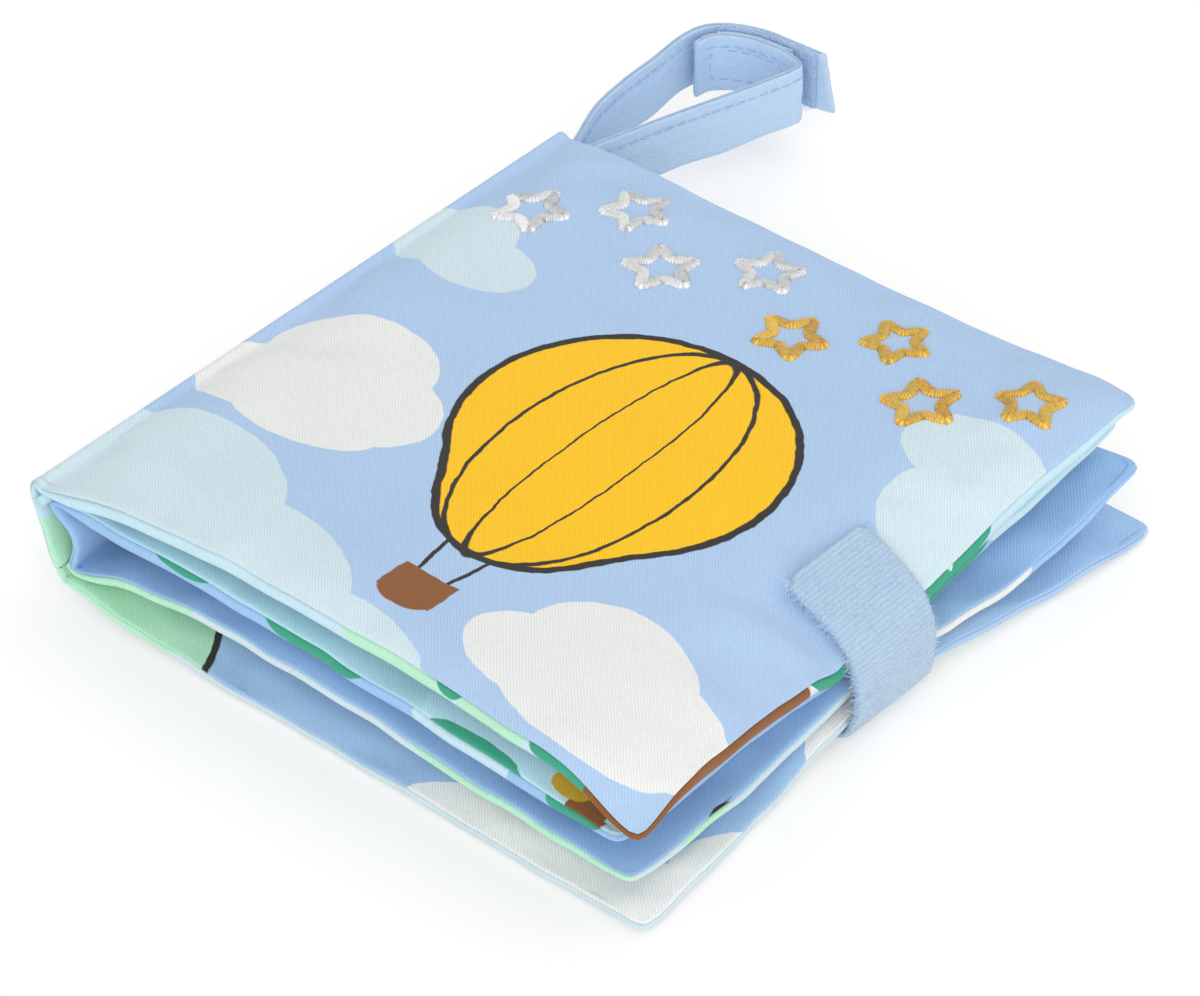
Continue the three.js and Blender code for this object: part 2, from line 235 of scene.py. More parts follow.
def waves(along, seed, *bands):
    """Unevenness of hand-guided sewing: smooth noise along a line, in mm."""
    return np.array([sum(height * noise.noise(Vector((s / length, seed, 3.7 * k)))
                         for k, (length, height) in enumerate(bands)) for s in along])


def pressed(places, dents):
    """How far dents and soft folds (x, y, half width, half length, height) move the cloth up, in mm."""
    return sum(height * np.exp(-((places[..., 0] - x) / wide) ** 2 - ((places[..., 1] - y) / long) ** 2)
               for x, y, wide, long, height in dents)


def lay_leaf(lower, upper, fold_line, rim_thickness, seed, dents):
    """The middle of a leaf and the fold before it, in rows from tail to head, with thickness and normal."""
    low, high = packed_grid(lower, False), packed_grid(upper, True)
    middle_row = grid_cells // 2
    width = high[middle_row, -1, 0] - high[middle_row, 0, 0]
    length = high[-1, 0, 1] - high[0, 0, 1]
    along = grid_places(length, rim_reach, length - rim_reach)
    across = grid_places(width, 0, width - rim_reach)
    low, high = (through(through(g, along).swapaxes(0, 1), across).swapaxes(0, 1) for g in (low, high))
    leaf_middle = (low + high) / 2
    leaf_thick = (high - low)[..., 2]

    # The fold turns at its own points and runs into the leaf's first column
    start = leaf_middle[len(along) // 2, :2][:, [0, 2]]
    knots = np.array(list(fold_line) + start.tolist())
    fine = through(knots, np.linspace(0, len(knots) - 2, 400))
    travelled = lengths_along(fine)
    steps = np.linspace(0, travelled[-1], round(travelled[-1] / fold_step) + 1)[:-1]
    fold = picked(steps, travelled, fine)
    rows = len(along)
    folded = np.zeros((rows, len(fold), 3))
    folded[..., 0] = fold[:, 0]
    folded[..., 1] = leaf_middle[:, :1, 1]
    folded[..., 2] = fold[:, 1]
    middle = np.concatenate([folded, leaf_middle], axis=1)
    leaf_x = leaf_middle[rows // 2, :, 0]
    from_seam = np.concatenate([np.zeros(len(fold)), leaf_x - leaf_x[0]])
    thick = np.concatenate([np.full((rows, len(fold)), fold_thickness), leaf_thick], axis=1)
    across_mm = from_seam[None, :].repeat(rows, 0)
    along_mm = middle[..., 1] + length / 2
    from_fore = across_mm[:, -1:] - across_mm
    from_side = np.minimum(along_mm, length - along_mm)
    from_rim = np.minimum(from_fore, from_side)
    from_corner = np.hypot(from_fore, from_side)
    fullness = smooth(across_mm / rim_growth) * smooth((from_corner + corner_start) / corner_growth)
    thick = np.maximum(thick, fold_thickness + (rim_thickness - fold_thickness) * fullness)

    # The seam runs along the upper third of the rim, because the lower panel is cut a little fuller
    middle[..., 2] -= seam_drop * (thick - fold_thickness) * smooth(1 - from_rim / edge_wave_reach) * fullness

    # Sewing by hand leaves the edges a little wavy, most of all far from the spine
    reach = edge_wave_reach
    share = smooth(from_seam / still_reach)
    tail = waves(from_seam, seed, *side_waves) * share
    head = waves(from_seam, seed + 5, *side_waves) * share
    fore = waves(along_mm[:, -1], seed + 9, *fore_waves)
    lift = tail[None] * smooth(1 - along_mm / reach) + head[None] * smooth(1 - (length - along_mm) / reach)
    lift += fore[:, None] * smooth(1 - from_fore / reach)
    middle[..., 2] += lift + pressed(middle, dents)
    middle[..., 2] = np.maximum(middle[..., 2], thick / 2 + table_gap)
    across_way = np.gradient(middle, axis=1)
    along_way = np.gradient(middle, axis=0)
    normal = np.cross(across_way, along_way)
    upright = (smooth(1 - from_rim / edge_wave_reach) * smooth(across_mm / upright_reach))[..., None]
    normal /= np.linalg.norm(normal, axis=2, keepdims=True)
    normal = normal * (1 - upright) + np.array([0, 0, 1]) * upright
    normal /= np.linalg.norm(normal, axis=2, keepdims=True)
    flat_x = np.concatenate([start[0, 0] - travelled[-1] + steps, leaf_x])
    return {"middle": middle, "thick": thick, "normal": normal, "flat_x": flat_x, "folds": len(fold),
            "length": length, "seed": seed}


# Round the edge of a leaf, as shares of its thickness down from the upper face and of the rim's
# reach outwards: the upper panel rolls down to the seam, and the lower one swells out below it.
upper_roll = [(0.03, 0.55), (0.09, 0.90), (0.16, 0.95), (0.22, 0.50), (0.23, -0.5)]
lower_roll = [(0.25, -0.5), (0.26, 0.45), (0.34, 1.05), (0.56, 1.35), (0.80, 1.0), (0.94, 0.45)]
rim_wander = (21, 0.14), (8, 0.12)
rim_slack = (17, 0.5), (6, 0.4)


def edge_loop(rows, columns, closed=False):
    """The grid points round the three sewn edges, from the fold's tail end to its head end, or round all."""
    tail = [(0, k) for k in range(columns)]
    fore = [(i, columns - 1) for i in range(1, rows)]
    head = [(rows - 1, k) for k in range(columns - 2, -1, -1)]
    back = [(i, 0) for i in range(rows - 2, 0, -1)] if closed else []
    return tail + fore + head + back


def leaf_edges(leaf):
    """Where the three edges are, which way they face, and how far round they are."""
    middle, normal = leaf["middle"], leaf["normal"]
    rows, columns = middle.shape[:2]
    loop = edge_loop(rows, columns)
    across_way, along_way = np.gradient(middle, axis=1), np.gradient(middle, axis=0)
    outward, flat_out = [], []
    for i, k in loop:
        side = -1 if i == 0 else 1 if i == rows - 1 else 0
        end = 1 if k == columns - 1 else 0
        along = along_way[i, k] / np.linalg.norm(along_way[i, k]) * side
        across = across_way[i, k] / np.linalg.norm(across_way[i, k]) * end
        way = along + across
        way -= normal[i, k] * way.dot(normal[i, k])
        outward.append(way / np.linalg.norm(way) * math.hypot(side, end))
        flat_out.append(np.array([end, side]) / math.hypot(end, side))
    run = lengths_along(middle[tuple(np.array(loop).T)])
    return loop, np.array(outward), np.array(flat_out), run


def grid_quads(rows, columns, first=0):
    index = np.arange(rows * columns).reshape(rows, columns) + first
    return np.stack([index[:-1, :-1], index[:-1, 1:], index[1:, 1:], index[1:, :-1]], axis=2).reshape(-1, 4)


def smooth_mesh(points, faces, flats=None):
    """A smoothly shaded mesh from points in mm. Cloth also gets their places on its flat sheet."""
    mesh = bpy.data.meshes.new("smooth")
    mesh.from_pydata((np.array(points) * MM).tolist(), [], faces)
    if flats is not None:
        place = mesh.attributes.new("cloth_mm", "FLOAT_VECTOR", "POINT")
        place.data.foreach_set("vector", np.array(flats, np.float32).ravel())
    mesh.polygons.foreach_set("use_smooth", [True] * len(mesh.polygons))
    return mesh


def panel_mesh(leaf, upper):
    """One cloth panel of a leaf, with the roll of its edges, open towards the inside."""
    face = leaf["top"] if upper else leaf["bottom"]
    rows, columns = face.shape[:2]
    loop, outward, flat_out, run = leaf_edges(leaf)
    flat = np.zeros((rows, columns, 3))
    flat[..., 0] = leaf["flat_x"]
    flat[..., 1] = leaf["middle"][..., 1]
    points, flats = [face.reshape(-1, 3)], [flat.reshape(-1, 3)]
    quads = grid_quads(rows, columns)
    quads = (quads if upper else quads[:, ::-1]).tolist()

    # The panel goes on round its edge, ring by ring
    at_edge = tuple(np.array(loop).T)
    top, bottom, flat_edge = leaf["top"][at_edge], leaf["bottom"][at_edge], flat[at_edge]
    uneven = waves(run, leaf["seed"] + 20, *rim_wander)
    slack = 1 + waves(run, leaf["seed"] + 30, *rim_slack)
    ring = [i * columns + k for i, k in loop]
    last = top if upper else bottom
    travelled = np.zeros(len(loop))
    for share, reach in (upper_roll if upper else lower_roll[::-1]):
        shares = share + uneven * math.sin(math.pi * share)
        place = top + (bottom - top) * shares[:, None] + outward * (rim_reach * reach * slack)[:, None]
        travelled = travelled + np.linalg.norm(place - last, axis=1)
        last = place
        points.append(place)
        out = np.zeros((len(loop), 3))
        out[:, :2] = flat_out * travelled[:, None]
        flats.append(flat_edge + out)
        first = sum(len(p) for p in points[:-1])
        new_ring = list(range(first, first + len(loop)))
        for k in range(len(loop) - 1):
            quad = [ring[k], new_ring[k], new_ring[k + 1], ring[k + 1]]
            quads.append(quad if upper else quad[::-1])
        ring = new_ring
    return smooth_mesh(np.concatenate(points), quads, np.concatenate(flats))


def add_piece(name, mesh, material):
    mesh.name = name
    mesh.materials.append(material)
    piece = bpy.data.objects.new(name, mesh)
    bpy.context.scene.collection.objects.link(piece)
    return piece


def add_panel(name, leaf, upper, material):
    piece = add_piece(name, panel_mesh(leaf, upper), material)
    finer = piece.modifiers.new("finer", "SUBSURF")
    finer.levels = finer.render_levels = 1
    gauge = piece.modifiers.new("gauge", "SOLIDIFY")
    gauge.thickness = cloth_gauge * MM
    gauge.offset = -1
    return piece


def fill_leaf(leaf, upper_room, lower_room):
    """The filled leaf swells between its seams, as far as there is room over and under it. Its cloth is
    cut a little large, so it puckers."""
    half = leaf["normal"] * leaf["thick"][..., None] / 2
    leaf["top"] = leaf["middle"] + half
    leaf["bottom"] = leaf["middle"] - half
    first = leaf["folds"]
    high, low = leaf["top"][:, first:], leaf["bottom"][:, first:]
    rows, columns = high.shape[:2]
    count = rows * columns
    edge = edge_loop(rows, columns, closed=True)
    ring = [i * columns + k for i, k in edge]
    quads = grid_quads(rows, columns).tolist() + grid_quads(rows, columns, count)[:, ::-1].tolist()
    quads += [[a, a + count, b + count, b] for a, b in zip(ring, ring[1:] + ring[:1])]
    places = np.concatenate([high.reshape(-1, 3), low.reshape(-1, 3)])
    mesh = bpy.data.meshes.new("filled_leaf")
    mesh.from_pydata((places * MM).tolist(), [], quads)
    case = bpy.data.objects.new("filled_leaf", mesh)
    bpy.context.scene.collection.objects.link(case)
    sewn = case.vertex_groups.new(name="sewn")
    sewn.add([n for k in ring for n in (k, k + count)], 1.0, "REPLACE")
    cloth = case.modifiers.new("cloth", "CLOTH")
    cloth.settings.quality = 6
    cloth.settings.mass = 0.15
    cloth.settings.tension_stiffness = cloth.settings.compression_stiffness = 12
    cloth.settings.shear_stiffness = 4
    cloth.settings.bending_stiffness = 0.25
    cloth.settings.use_pressure = True
    cloth.settings.uniform_pressure_force = 4
    cloth.settings.shrink_min = -cloth_excess
    cloth.settings.effector_weights.gravity = 0
    cloth.settings.vertex_group_mass = "sewn"
    cloth.collision_settings.use_collision = False
    for step in range(1, swelling_frames + 1):
        bpy.context.scene.frame_set(step)
    eased = case.evaluated_get(bpy.context.evaluated_depsgraph_get()).data
    found = np.empty(3 * len(eased.vertices))
    eased.vertices.foreach_get("co", found)
    moved = found.reshape(-1, 3) / MM - places
    bpy.data.objects.remove(case)
    bpy.context.scene.frame_set(1)
    for face, moves, room in (("top", moved[:count], upper_room), ("bottom", moved[count:], lower_room)):
        far = np.linalg.norm(moves, axis=1, keepdims=True)
        moves = moves / np.maximum(far, 1e-6) * room * np.tanh(far / room)
        out = leaf["normal"][:, first:].reshape(-1, 3) * (1 if face == "top" else -1)
        sunk = np.minimum((moves * out).sum(axis=1) + padding_gap, 0)
        moves -= out * sunk[:, None]
        leaf[face][:, first:] += moves.reshape(rows, columns, 3)
    leaf["bottom"][..., 2] = np.maximum(leaf["bottom"][..., 2], table_gap)


# Polyester twill, woven, printed and brushed a little: fine slanting ribs, broken by slubs, that
# catch the light as pale lines, which are painted into the colour as highlight on the ribs and shade
# between them, over flat ink colours with slightly bled edges. Real ribs are about 0.4 mm apart, and
# these are a bit coarser, so that they show.
rib_pitch = 0.58
ink_bleed = 0.14
ink_wobble = 0.55


def print_ink(tree, place, ground, ink, outlines, stroke=0, melt=0):
    """One ink, inside joined ellipses and boxes (x, y, half width, half height, turn), or along their
    edge. Melting rounds the nooks where two outlines meet."""
    nearest = None
    for kind, x, y, half_width, half_height, turn in outlines:
        local = add_node(tree, "ShaderNodeMapping", {"vector_type": "TEXTURE"}, {
            "Vector": place, "Location": (x, y, 0), "Rotation": (0, 0, math.radians(turn)),
            "Scale": (half_width, half_height, 1)})
        if kind == "round":
            reach = add_node(tree, "ShaderNodeVectorMath", {"operation": "LENGTH"}, {0: local}, output=1)
        else:
            sides = add_node(tree, "ShaderNodeVectorMath", {"operation": "ABSOLUTE"}, {0: local})
            aside = add_node(tree, "ShaderNodeSeparateXYZ", inputs={0: sides})
            reach = add_node(tree, "ShaderNodeMath", {"operation": "MAXIMUM"},
                             {0: aside, 1: aside.node.outputs[1]})
        radius = math.sqrt(half_width * half_height)
        distance = add_node(tree, "ShaderNodeMath", {"operation": "MULTIPLY_ADD"},
                            {0: reach, 1: radius, 2: -radius})
        if nearest is None:
            nearest = distance
        elif melt:
            nearest = add_node(tree, "ShaderNodeMath", {"operation": "SMOOTH_MIN"},
                               {0: nearest, 1: distance, 2: melt})
        else:
            nearest = add_node(tree, "ShaderNodeMath", {"operation": "MINIMUM"}, {0: nearest, 1: distance})
    if stroke:
        nearest = add_node(tree, "ShaderNodeMath", {"operation": "ABSOLUTE"}, {0: nearest})
        nearest = add_node(tree, "ShaderNodeMath", {"operation": "SUBTRACT"}, {0: nearest, 1: stroke / 2})
    inked = add_node(tree, "ShaderNodeMapRange", {"interpolation_type": "SMOOTHSTEP"},
                     {"Value": nearest, "From Min": ink_bleed, "From Max": -ink_bleed})
    return add_node(tree, "ShaderNodeMix", {"data_type": "RGBA"},
                    {"Factor": inked, 6: ground, 7: linear(ink)}, output=2)


def printed_twill(name, ground, inks, slant):
    material, tree = new_material(name)
    attribute = add_node(tree, "ShaderNodeAttribute", {"attribute_name": "cloth_mm"}, output=1)
    bleed = add_node(tree, "ShaderNodeTexNoise", inputs={"Vector": attribute, "Scale": 0.22, "Detail": 2.0},
                     output=1)
    shift = add_node(tree, "ShaderNodeVectorMath", {"operation": "SUBTRACT"}, {0: bleed, 1: (0.5, 0.5, 0.5)})
    shift = add_node(tree, "ShaderNodeVectorMath", {"operation": "MULTIPLY"},
                     {0: shift, 1: (2 * ink_wobble, 2 * ink_wobble, 0)})
    place = add_node(tree, "ShaderNodeVectorMath", {"operation": "ADD"}, {0: attribute, 1: shift})
    colour = add_node(tree, "ShaderNodeMix", {"data_type": "RGBA"},
                      {"Factor": 0.0, 6: linear(ground), 7: linear(ground)}, output=2)
    for layer in inks:
        colour = print_ink(tree, place, colour, *layer)

    # The slanting ribs, wavering as the yarn does, and broken into short floats: a bump, and painted
    # highlight and shade
    turned = add_node(tree, "ShaderNodeMapping", {"vector_type": "POINT"},
                      {"Vector": attribute, "Rotation": (0, 0, math.radians(slant))})
    ribs = add_node(tree, "ShaderNodeTexWave", {"wave_type": "BANDS", "bands_direction": "X"},
                    {"Vector": turned, "Scale": math.pi / (10 * rib_pitch), "Distortion": 0.5,
                     "Detail": 1.0, "Detail Scale": 2.0}, output=1)
    floats = add_node(tree, "ShaderNodeMapping", inputs={"Vector": turned, "Scale": (1.9, 0.55, 1)})
    slubs = add_node(tree, "ShaderNodeTexNoise", inputs={"Vector": floats, "Scale": 1.0, "Detail": 2.0,
                                                         "Roughness": 0.6})
    dapple = add_node(tree, "ShaderNodeTexNoise", inputs={"Vector": attribute, "Scale": 0.9, "Detail": 3.0})
    wear = add_node(tree, "ShaderNodeTexNoise", inputs={"Vector": attribute, "Scale": 0.045, "Detail": 3.0})
    weave = add_node(tree, "ShaderNodeMath", {"operation": "MULTIPLY"}, {0: ribs, 1: slubs})
    # Painted highlight and shade: the colour is up to 4.5 % paler on the ribs and up to 9 % darker between
    # them
    light = add_node(tree, "ShaderNodeMapRange", inputs={"Value": weave, "From Min": 0.05, "From Max": 0.5,
                                                         "To Min": 0.91, "To Max": 1.045})
    mottle = add_node(tree, "ShaderNodeMapRange", inputs={"Value": dapple, "From Min": 0.3, "From Max": 0.7,
                                                          "To Min": 0.975, "To Max": 1.025})
    aged = add_node(tree, "ShaderNodeMapRange", inputs={"Value": wear, "From Min": 0.3, "From Max": 0.7,
                                                        "To Min": 0.985, "To Max": 1.012})
    tone = add_node(tree, "ShaderNodeMath", {"operation": "MULTIPLY"}, {0: light, 1: mottle})
    tone = add_node(tree, "ShaderNodeMath", {"operation": "MULTIPLY"}, {0: tone, 1: aged})
    colour = add_node(tree, "ShaderNodeVectorMath", {"operation": "SCALE"}, {0: colour, "Scale": tone})
    rough = add_node(tree, "ShaderNodeMapRange", inputs={"Value": slubs, "From Min": 0.3, "From Max": 0.7,
                                                         "To Min": 0.78, "To Max": 0.92})
    height = add_node(tree, "ShaderNodeMath", {"operation": "MULTIPLY_ADD"}, {0: dapple, 1: 0.5, 2: weave})
    bump = add_node(tree, "ShaderNodeBump", inputs={"Height": height, "Strength": 0.5, "Distance": 0.12 * MM})
    surface = add_node(tree, "ShaderNodeBsdfPrincipled", inputs={
        "Base Color": colour, "Roughness": rough, "Normal": bump, "Sheen Weight": 0.12,
        "Sheen Roughness": 0.5, "Specular IOR Level": 0.25})
    add_node(tree, "ShaderNodeOutputMaterial", inputs={"Surface": surface})
    return material


# Ink colours of the whole book
sky = "#AFCAE9"
deep_sky = "#9EC4EA"
pale_blue = "#CFE2E8"
off_white = "#E8EAE7"
yellow = "#FDC61C"
outline_ink = "#33302B"
brown = "#8E5B33"
dark_green = "#3FA385"
light_green = "#BAEACC"
mustard = "#D9A92B"


def rounds(*ellipses):
    return [("round", x, y, half_width, half_height, 0) for x, y, half_width, half_height in ellipses]


# The front cover: the outer sheet's front leaf and the wall of the spine up to it, in printed twill.
# Its outer panel shows a hot-air balloon among clouds, its inner panel a meadow and a post.
balloon = rounds((5, 0, 35, 35), (5, -27, 19, 20))
front_outer_print = [
    (pale_blue, rounds((-62, -70, 34, 25), (-30, -80, 30, 20), (0, -86, 24, 14), (74, 26, 22, 18),
                       (60, 42, 16, 11), (80, 6, 16, 14), (-70, 34, 15, 12), (-58, 28, 14, 9))),
    (off_white, rounds((-56, -14, 21, 15), (-42, -24, 17, 13), (-66, -27, 18, 13), (-50, -33, 19, 10),
                       (44, -52, 18, 14), (58, -60, 18, 13), (34, -62, 15, 11), (50, -67, 20, 10))),
    (yellow, balloon, 0, 14),
    (outline_ink, balloon, 1.7, 14),
    (outline_ink, rounds((5, -6.5, 21, 41)), 1.1),
    (outline_ink, rounds((5, -6.5, 7.5, 41)), 1.1),
    (outline_ink, [("box", 0.6, -53, 0.45, 6.5, 8), ("box", 9.4, -53, 0.45, 6.5, -8)]),
    (brown, [("box", 5, -62, 6.6, 4.6, 0)] + rounds((5, -65, 6.6, 4.2))),
]
front_inner_print = [
    (off_white, rounds((10, 60, 30, 22), (40, 66, 26, 18), (80, -24, 8, 6))),
    (light_green, rounds((-99, -84, 9.5, 16), (15, -84, 15, 8), (37, -84, 9, 6), (-60, 30, 22, 30))),
    (dark_green, rounds((27, -85, 4, 5), (54, -84, 8, 6), (82, 22, 12, 15), (82, -17, 12, 8))),
    ("#DDF3E6", [("box", 76, 15, 0.8, 4, -35), ("box", 76, 24, 0.7, 4, -35)]),
    (brown, [("box", 73, -53, 5, 29, 0), ("box", 68, -79, 9, 3.2, 0)]),
]
front_fold = [(-75.4, 9.0), (-77.2, 12.8), (-79.4, 20.8), (-80.7, 25.4), (-80.2, 27.6), (-78.9, 28.6)]
# Its free corner droops, and the closing tab presses it down beside its edge
front_dents = [(76, -80, 9, 9, -4.2), (54, -80, 11, 9, 1.0), (66, -15, 10, 4.2, -2.4), (62, -25, 10, 4, 0.5)]
front = lay_leaf("front_cover_inner_panel", "front_cover_outer_panel", front_fold,
                 rim_thickness=4.6, seed=1.3, dents=front_dents)
fill_leaf(front, upper_room=1.3, lower_room=0.7)
front_outer = add_panel("front_cover_and_spine_outside", front, True,
                        printed_twill("printed_twill_front", sky, front_outer_print, -40))
front_inner = add_panel("front_cover_and_spine_inside", front, False,
                        printed_twill("printed_twill_meadow", "#C6E2EE", front_inner_print, 40))

# The back cover: the outer sheet's other leaf, from the bottom of the spine's wall. It lies on the
# table, in the same twill. Its inner panel shows a hill and clouds, its outer panel sky and clouds.
back_inner_print = [
    (outline_ink, rounds((-118, -95, 85, 62)), 1.6),
    (light_green, rounds((-118, -95, 84.4, 61.4))),
    ("#F3F4F2", rounds((46, -84, 30, 17), (72, -82, 20, 19), (85, -60, 19, 18), (88, -12, 22, 19))),
]
back_outer_print = [
    (sky, rounds((0, 20, 52, 44), (86, 46, 16, 52))),
    (light_green, rounds((-66, -86, 34, 7))),
    (off_white, rounds((0, -34, 34, 18), (34, -30, 24, 14), (-50, 50, 26, 16))),
]
back_fold = [(-75.4, 9.0), (-74.9, 7.2), (-73.9, 5.8)]
back_dents = [(72, 62, 8, 5, 0.9), (74, 50, 7, 5, -0.5), (77, 38, 7, 5, 0.6)]
back = lay_leaf("back_cover_outer_panel", "back_cover_inner_panel", back_fold,
                rim_thickness=2.6, seed=4.1, dents=back_dents)
fill_leaf(back, upper_room=0.8, lower_room=0.3)
back_inner = add_panel("back_cover_inside", back, True,
                       printed_twill("printed_twill_hillside", "#A8CAED", back_inner_print, -40))
back_outer = add_panel("back_cover_outside", back, False,
                       printed_twill("printed_twill_back", pale_blue, back_outer_print, 45))

# The upper page: the inner sheet's first leaf, with the strip that hangs down inside the spine. It
# is of the same twill, sewn in under the front cover's fold, and shows a slightly darker blue, painted
# shade under the front cover, over its tail side and middle, and shrubs and a stump.
page_one_upper_print = [
    # Painted shade: a slightly darker blue where the page lies under the front cover
    ("#B4DDEA", rounds((-40, -78, 60, 22), (20, -20, 50, 50))),
    (dark_green, rounds((34, -79, 12, 3.5))),
    (brown, [("box", 60, -76, 4.2, 6, 12)]),
    (mustard, rounds((54.5, -73.5, 4.6, 3.4))),
]
page_one_lower_print = [
    (dark_green, rounds((-8, -83, 14, 6), (-42, -84, 9, 5), (58, -82, 7, 5), (78, 24, 10, 14))),
    ("#C6E2EE", rounds((30, -80, 12, 8), (78, 68, 15, 36)) + [("box", -84, -85, 11, 2.6, 0)]),
]
page_one_fold = [(-73.3, 9.2), (-72.0, 12.4), (-71.4, 16.0), (-72.3, 19.0), (-75.3, 21.3), (-77.6, 23.1)]
page_one_dents = [(66, 72, 16, 34, 3.3), (66, -15, 10, 5, -1.8)]
page_one = lay_leaf("leaf_1_lower_panel", "leaf_1_upper_panel", page_one_fold,
                    rim_thickness=4.4, seed=7.7, dents=page_one_dents)
fill_leaf(page_one, upper_room=0.5, lower_room=0.7)
page_one_upper = add_panel("page_1_upper", page_one, True,
                           printed_twill("printed_twill_page_1_upper", "#C3E4EF", page_one_upper_print, -40))
page_one_lower = add_panel("page_1_lower", page_one, False,
                           printed_twill("printed_twill_page_1_lower", deep_sky, page_one_lower_print, 40))

# The lower page: the inner sheet's second leaf, of the same twill, sewn in over the back cover's
# seam. Its upper panel is sky with a cloud, its lower panel sky over a light meadow.
page_two_upper_print = [
    (off_white, rounds((82, 20, 5.5, 28))),
    (outline_ink, rounds((92, -52, 20, 13)), 1.8),
]
page_two_lower_print = [
    (light_green, rounds((-66, -80, 26, 14), (48, -84, 34, 9), (80, -56, 10, 9))),
    (deep_sky, rounds((78, 70, 24, 34))),
    (off_white, rounds((80, 20, 14, 28))),
]
page_two_fold = [(-74.3, 9.6), (-73.2, 8.9), (-72.4, 8.7)]
page_two_dents = [(62, 36, 12, 5, -0.8), (68, 48, 8, 5, 0.8), (60, 60, 10, 5, -0.7)]
page_two = lay_leaf("leaf_2_lower_panel", "leaf_2_upper_panel", page_two_fold,
                    rim_thickness=3.2, seed=2.9, dents=page_two_dents)
fill_leaf(page_two, upper_room=0.7, lower_room=0.7)
page_two_upper = add_panel("page_2_upper", page_two, True,
                           printed_twill("printed_twill_page_2_upper", deep_sky, page_two_upper_print, -40))
page_two_lower = add_panel("page_2_lower", page_two, False,
                           printed_twill("printed_twill_page_2_lower", pale_blue, page_two_lower_print, 40))


# The lining roll: under the upper fold, the seam's spare lining cloth is rolled up lengthwise, from
# tail to head. It is plain twill, held in the seam, and only its end shows.
roll_middle = -77.6, 25.3
roll_radius = 1.3
roll_eye = 0.35
roll_turns = 2.1
roll_gauge = 0.3
roll_start, roll_end = -81.6, 79
roll_looseness = (24, 0.35), (9, 0.25)
roll_wander = (30, 0.5), (12, 0.3)
round_points, roll_rings = 44, 65


def rolled_cloth():
    turns = np.linspace(0, 2 * math.pi * roll_turns, round_points)
    radii = np.linspace(roll_radius, roll_eye, len(turns))
    wound = np.concatenate([[0], np.cumsum(radii[1:] * np.diff(turns))])
    along = np.linspace(roll_start, roll_end, roll_rings)
    loose = 1 + waves(along, 8.3, *roll_looseness)
    aside = waves(along, 6.1, *roll_wander)
    x = roll_middle[0] + aside[:, None] + loose[:, None] * radii * np.sin(turns)
    z = roll_middle[1] + loose[:, None] * radii * np.cos(turns)
    y = along[:, None].repeat(len(turns), 1)
    points = np.stack([x, y, z], axis=2).reshape(-1, 3)
    flats = np.stack([wound[None].repeat(len(along), 0), y, 0 * y], axis=2)
    return smooth_mesh(points, grid_quads(len(along), len(turns)).tolist(), flats)


lining_roll = add_piece("spine_lining_roll", rolled_cloth(),
                        printed_twill("plain_twill_lining", "#C3E4EF", [], -40))
gauge = lining_roll.modifiers.new("gauge", "SOLIDIFY")
gauge.thickness = roll_gauge * MM


# How the cloth is placed: each panel stands for its packed panel, and for the strip of the spine sewn
# to it, which are hidden, and keeps its place in its own mesh. A turn is the two bodies, and where the
# bend between them starts and ends.
upper_turn = "spine", "front_cover", mm(-81, 0, 24), mm(-76.5, 0, 29)
lower_turn = "back_cover", "spine", mm(-72.5, 0, 4.5), mm(-75.6, 0, 9)
page_one_turn = "spine", "leaf_1", mm(-76.5, 0, 20.5), mm(-75, 0, 24.2)
page_two_turn = "spine", "leaf_2", mm(-73.6, 0, 9.8), mm(-71.4, 0, 8.8)


def fix(piece, slot, support, turn, *nodes):
    cut = np.empty(3 * len(piece.data.vertices), np.float32)
    piece.data.attributes["cloth_mm"].data.foreach_get("vector", cut)
    cut = cut.reshape(-1, 3)
    if nodes:
        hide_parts(*nodes)
    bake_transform(piece)


fix(front_outer, "sky_twill", "front_cover_padding", upper_turn,
    "front_cover_outer_panel", "spine_outer_panel")
fix(front_inner, "meadow_twill", "front_cover_padding", upper_turn,
    "front_cover_inner_panel", "spine_lining_panel")
fix(lining_roll, "pale_twill", "front_cover_and_spine_inside", upper_turn)
fix(back_inner, "meadow_twill", "back_cover_padding", lower_turn, "back_cover_inner_panel")
fix(back_outer, "pale_twill", "back_cover_padding", lower_turn, "back_cover_outer_panel")
fix(page_one_upper, "pale_twill", "leaf_1_padding", page_one_turn,
    "leaf_1_upper_panel", "page_spine_outer_panel")
fix(page_one_lower, "blue_twill", "leaf_1_padding", page_one_turn,
    "leaf_1_lower_panel", "page_spine_inner_panel")
fix(page_two_upper, "blue_twill", "leaf_2_padding", page_two_turn, "leaf_2_upper_panel")
fix(page_two_lower, "meadow_twill", "leaf_2_padding", page_two_turn, "leaf_2_lower_panel")


# Inside each leaf: a layer of polyester wadding, and a sheet of crinkle film under it, cut smaller
# than the cloth so that neither reaches the seams. The film is creased all over, which makes the noise.
filling_inset = 10
pad_low, pad_high = -0.25, 1.0
pad_bulge = 0.9
film_level = -0.55
film_gauge = 0.06
film_crease = 0.5
crease_width = 9
crease_depth = 40


def inner_grid(leaf, offset_share, relief=None):
    """A face inside a leaf, at a share of its thickness from the middle, clear of the seams."""
    rows, columns = leaf["middle"].shape[:2]
    skip = round(filling_inset / cloth_step)
    first = leaf["folds"] + skip
    part = (slice(skip, rows - skip), slice(first, columns - skip))
    offset = offset_share * (leaf["thick"][part] / 2 - cloth_gauge - 2 * padding_gap)
    if relief is not None:
        offset = offset + relief(leaf["middle"][part])
    return leaf["middle"][part] + leaf["normal"][part] * offset[..., None]


